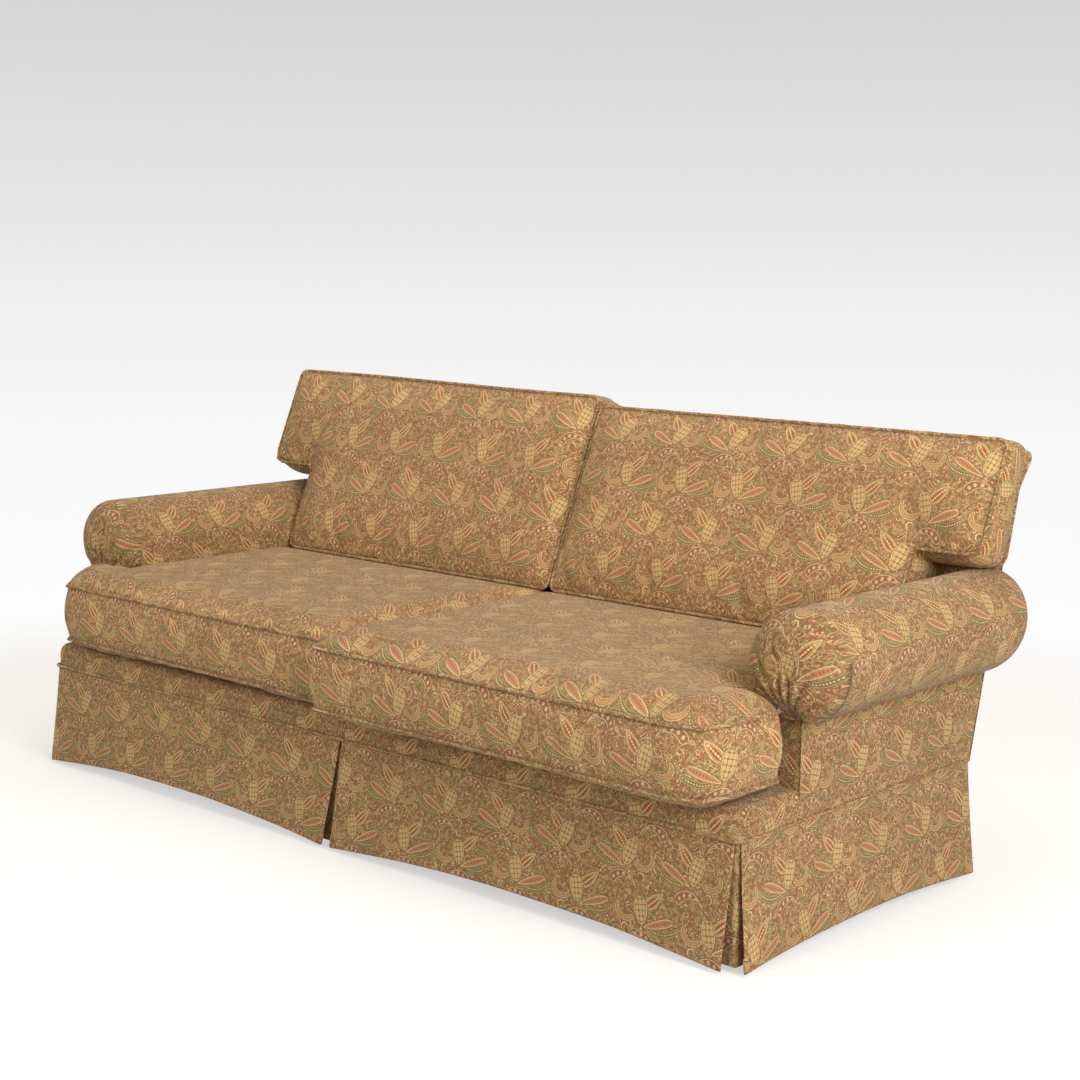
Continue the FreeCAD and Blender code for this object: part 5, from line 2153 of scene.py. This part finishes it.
@dataclass
class Skirt:
    """The skirt: five flared panels, their pleat underlays and the welt along the seam."""

    finishes: Finishes
    seam: float = 0.243

    def panels(self) -> list[SkirtPanel]:
        """Return the five panels."""
        ahead = Vector((0.0, -1.0, 0.0))
        behind = Vector((0.0, 1.0, 0.0))
        right = Vector((1.0, 0.0, 0.0))
        left = Vector((-1.0, 0.0, 0.0))
        front = Vector((0.0, -0.4235, 0.0))
        rear = Vector((0.0, 0.3665, 0.0))
        east = Vector((1.039, 0.0, 0.0))
        west = Vector((-1.039, 0.0, 0.0))
        faces = {
            "front_right": ((0.002, 1.03), (-0.02, 1.018), right, ahead, front, {}),
            "front_left": ((-1.03, -0.002), (-1.045, -0.045), right, ahead, front, {}),
            "side_right": (
                (-0.4175, 0.3605),
                (-0.424, 0.3665),
                behind,
                right,
                east,
                {"hem_middle": 0.026, "cloth_start": 0.075, "cloth_low": 0.042},
            ),
            "side_left": ((-0.3605, 0.4175), (-0.3665, 0.424), ahead, left, west, {"hem_middle": 0.026}),
            "back": ((-1.03, 1.03), (-1.03, 1.03), left, behind, rear, {"hem_middle": 0.02}),
        }
        return [
            SkirtPanel(
                f"skirt_{word}_panel",
                f"skirt_{word}",
                self.finishes,
                *top,
                *hem,
                across,
                out,
                origin,
                **others,
            )
            for word, (top, hem, across, out, origin, others) in faces.items()
        ]

    def build(self) -> None:
        """Build the skirt."""
        for panel in self.panels():
            piece = panel.build()
            LOG.info("%s: %d faces", panel.name, len(piece.data.polygons))
        centre = Underlay("pleat_underlay_centre", [(-0.11, -0.4188), (0.11, -0.4188)], self.finishes).build()
        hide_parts("pleat_underlays")
        for sign, word in ((-1, "left"), (1, "right")):
            line = [(sign * 0.925, -0.4188), (sign * 1.0345, -0.4188), (sign * 1.0345, -0.31)]
            rear = [(sign * 1.0345, 0.252), (sign * 1.0345, 0.3618), (sign * 0.925, 0.3618)]
            Underlay(f"pleat_underlay_front_{word}", line, self.finishes).build()
            Underlay(f"pleat_underlay_rear_{word}", rear, self.finishes).build()
        outline = Outline(
            [
                Corner((-1.0425, -0.427), 0.02),
                Corner((1.0425, -0.427), 0.02),
                Corner((1.0425, 0.37), 0.02),
                Corner((-1.0425, 0.37), 0.02),
            ],
            0.02,
        )
        line = [Vector((spot.x, spot.y, self.seam + 0.001)) for spot in outline.points()]
        Welt(0.0034).sew("skirt_welt", line, self.finishes.cover, "root")


@dataclass
class Linings:
    """The cloths that stay out of sight: dust cover, hessian and back webbing."""

    finishes: Finishes

    def build(self) -> None:
        """Build the hidden cloths."""
        dust = self.finishes.dust
        self._flat("dust_cover_cloth", "dust_cover", dust, 0.1192)
        hessian = self.finishes.hessian
        self._flat("spring_hessian_cloth", "spring_hessian", hessian, 0.263)
        self._webbing()

    def _flat(self, name: str, node: str, finish: Material, z: float) -> None:
        """Build a level cloth that takes a node's place."""
        low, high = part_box(node)
        work = Panelwork()
        across = 60
        along = 24
        rows = []
        for row in range(along + 1):
            y = mixed(low.y, high.y, row / along)
            rows.append(work.add_line(Vector((low.x, y, z)), Vector((high.x, y, z)), across))
        work.add_rows(rows, work.laid(rows, 0, 1))
        piece = work.build(name, [finish])
        settle(piece, "root", [node])

    def _webbing(self) -> None:
        """Build the jute bands across the back."""
        low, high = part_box("back_webbing")
        rise = high.z - low.z
        work = Panelwork()
        for band in range(5):
            centre = low.z + 0.03 + band * (rise - 0.06) / 4
            rows = []
            for level in (-0.025, 0.025):
                z = centre + level
                y = 0.3515 + (z - 0.3193) * RAKE
                rows.append(work.add_line(Vector((low.x, y, z)), Vector((high.x, y, z)), 60))
            place = work.laid(rows)
            work.add_rows(rows, lambda row, column: (place(row, column)[0], row * 0.05))
        for post in range(12):
            x = mixed(low.x + 0.06, high.x - 0.06, post / 11)
            rows = []
            for level in range(31):
                z = mixed(low.z, high.z, level / 30)
                y = 0.3525 + (z - 0.3193) * RAKE
                rows.append(work.add_points([Vector((x - 0.025, y, z)), Vector((x + 0.025, y, z))]))
            work.add_rows(rows, lambda row, column: (column * 0.05, row * 0.015))
        piece = work.build("back_webbing_bands", [self.finishes.webbing])
        settle(piece, "root", ["back_webbing"])


@dataclass
class Framework:
    """The rigid parts carried over from the model: timber, legs, springs and fixings."""

    finishes: Finishes

    def dress(self) -> None:
        """Give every rigid node its finish."""
        table = {
            "leg_glides": self.finishes.glide,
            "leg_bolts": self.finishes.bolt,
            "leg_blocks": self.finishes.frame_wood,
            "seat_springs": self.finishes.spring,
            "spring_clips": self.finishes.spring,
            "spring_ties": self.finishes.spring,
        }
        for name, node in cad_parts.items():
            if name in table:
                finish = table[name]
            elif name.startswith("leg_"):
                finish = self.finishes.leg_wood
            elif any(word in name for word in ("rail", "post", "stump", "stretcher")):
                finish = self.finishes.frame_wood
            else:
                continue
            node.data.materials.clear()
            node.data.materials.append(finish)


# Studio


@dataclass(frozen=True)
class PhotoCamera:
    """The camera that took the photograph."""

    place: tuple[float, float, float] = (2.996, -3.1115, 1.284)
    yaw: float = 42.18
    pitch: float = 8.69
    roll: float = 0.55
    focal: float = 1952.26

    def build(self) -> Piece:
        """Place the camera and make it the scene's own."""
        yaw = math.radians(self.yaw)
        pitch = math.radians(self.pitch)
        roll = math.radians(self.roll)
        ahead = Vector((-math.sin(yaw) * math.cos(pitch), math.cos(yaw) * math.cos(pitch), -math.sin(pitch)))
        right = Vector((math.cos(yaw), math.sin(yaw), 0.0))
        up = right.cross(ahead)
        cam_x = right * math.cos(roll) + up * math.sin(roll)
        cam_y = -right * math.sin(roll) + up * math.cos(roll)
        data = bpy.data.cameras.new("photo_camera")
        data.sensor_fit = "HORIZONTAL"
        data.sensor_width = 36.0
        data.lens = 36.0 * self.focal / PHOTO_SIZE
        data.clip_end = 100.0
        camera = bpy.data.objects.new("photo_camera", data)
        turn = Matrix((cam_x, cam_y, -ahead)).transposed().to_4x4()
        camera.matrix_world = Matrix.Translation(Vector(self.place)) @ turn
        bpy.context.scene.collection.objects.link(camera)
        bpy.context.scene.camera = camera
        return camera


@dataclass
class Studio:
    """Pale floor, soft lamps and a plain pale surround."""

    floor_half: float = 9.0

    def build(self) -> None:
        """Build the studio."""
        scene = bpy.context.scene
        scene.view_settings.view_transform = "Standard"
        self._world(scene)
        self._floor()
        self._lamp("key_softbox", Vector((4.7, -1.5, 2.4)), 2.4, 210.0)
        self._lamp("front_softbox", Vector((-0.8, -4.6, 2.2)), 2.8, 64.0)
        self._lamp("top_softbox", Vector((0.0, 0.2, 4.2)), 3.4, 58.0)

    def _world(self, scene: bpy.types.Scene) -> None:
        """Light the scene softly and show a pale surround to the camera."""
        world = bpy.data.worlds.new("surround")
        scene.world = world
        world.use_nodes = True
        world.node_tree.nodes.clear()
        wiring = Wiring(world.node_tree)
        output = wiring.node("ShaderNodeOutputWorld")
        place = wiring.node("ShaderNodeTexCoord").outputs["Generated"]
        height = wiring.split(place)[2]
        ramp = wiring.node("ShaderNodeValToRGB")
        wiring.feed(ramp.inputs[0], wiring.math("MULTIPLY_ADD", height, 2.0, 0.6))
        stops = ((0.088, 255), (0.237, 253), (0.389, 249), (0.541, 239))
        stops += ((0.642, 229), (0.74, 220), (0.836, 214), (1.0, 206))
        while len(ramp.color_ramp.elements) < len(stops):
            ramp.color_ramp.elements.new(0.5)
        for element, (spot, grey) in zip(ramp.color_ramp.elements, stops):
            element.position = spot
            element.color = colour(grey, grey, grey)
        shown = wiring.feed_all(wiring.node("ShaderNodeBackground"), {0: ramp.outputs[0], 1: 1.0})
        light = wiring.feed_all(wiring.node("ShaderNodeBackground"), {0: colour(243, 228, 204), 1: 0.45})
        mixed_light = wiring.mix_shaders(wiring.seen(), light.outputs[0], shown.outputs[0])
        wiring.feed(output.inputs["Surface"], mixed_light)

    def _floor(self) -> None:
        """Lay the floor, white to the camera and with the object's shadow on it."""
        work = Panelwork()
        size = self.floor_half
        count = 12
        rows = []
        for row in range(count + 1):
            y = mixed(-size, size, row / count)
            rows.append(work.add_line(Vector((-size, y, 0.0)), Vector((size, y, 0.0)), count))
        work.add_rows(rows, lambda row, column: (column / count, row / count))
        material, wiring, shader = new_material("studio_floor")
        seen = wiring.seen()
        look = {
            "Base Color": colour(188, 188, 188),
            "Roughness": 0.95,
            "Specular IOR Level": 0.0,
            "Emission Color": (1.0, 1.0, 1.0, 1.0),
            "Emission Strength": wiring.times(seen, 0.55),
        }
        wiring.feed_all(shader, look)
        place = wiring.node("ShaderNodeTexCoord").outputs["Object"]
        fade = wiring.ramp(wiring.vector("LENGTH", place, result="Value"), 1.7, 2.9)
        clear = wiring.node("ShaderNodeBsdfTransparent")
        faded = wiring.mix_shaders(wiring.times(fade, seen), shader.outputs[0], clear.outputs[0])
        output = next(node for node in wiring.tree.nodes if node.type == "OUTPUT_MATERIAL")
        wiring.feed(output.inputs["Surface"], faded)
        floor = work.build("studio_floor", [material])

    @staticmethod
    def _lamp(name: str, place: Vector, size: float, power: float) -> None:
        """Hang a soft square lamp that faces the sofa."""
        data = bpy.data.lights.new(name, "AREA")
        data.shape = "SQUARE"
        data.size = size
        data.energy = power
        data.color = (1.0, 0.982, 0.95)
        lamp = bpy.data.objects.new(name, data)
        lamp.location = place
        lamp.rotation_euler = (Vector((0.0, 0.0, 0.4)) - place).to_track_quat("-Z", "Y").to_euler()
        bpy.context.scene.collection.objects.link(lamp)


def main() -> None:
    """Build the sofa and the studio, piece by piece."""
    logging.basicConfig(level=logging.INFO, format="%(message)s")
    PhotoCamera().build()
    Studio().build()
    finishes = Finishes()
    Framework(finishes).dress()
    Platform(finishes).build()
    for side in Side:
        RolledArm(side, finishes).build()
        OutsideArm(side, finishes).build()
    InsideBack(finishes).build()
    OutsideBack(finishes).build()
    Skirt(finishes).build()
    Linings(finishes).build()
    SeatCushion(Side.LEFT, finishes, -0.4505).build()
    SeatCushion(Side.RIGHT, finishes, -0.5095).build()
    BackCushion(Side.LEFT, finishes, raise_mid=0.03).build()
    BackCushion(Side.RIGHT, finishes).build()


if __name__ == "__main__":
    main()
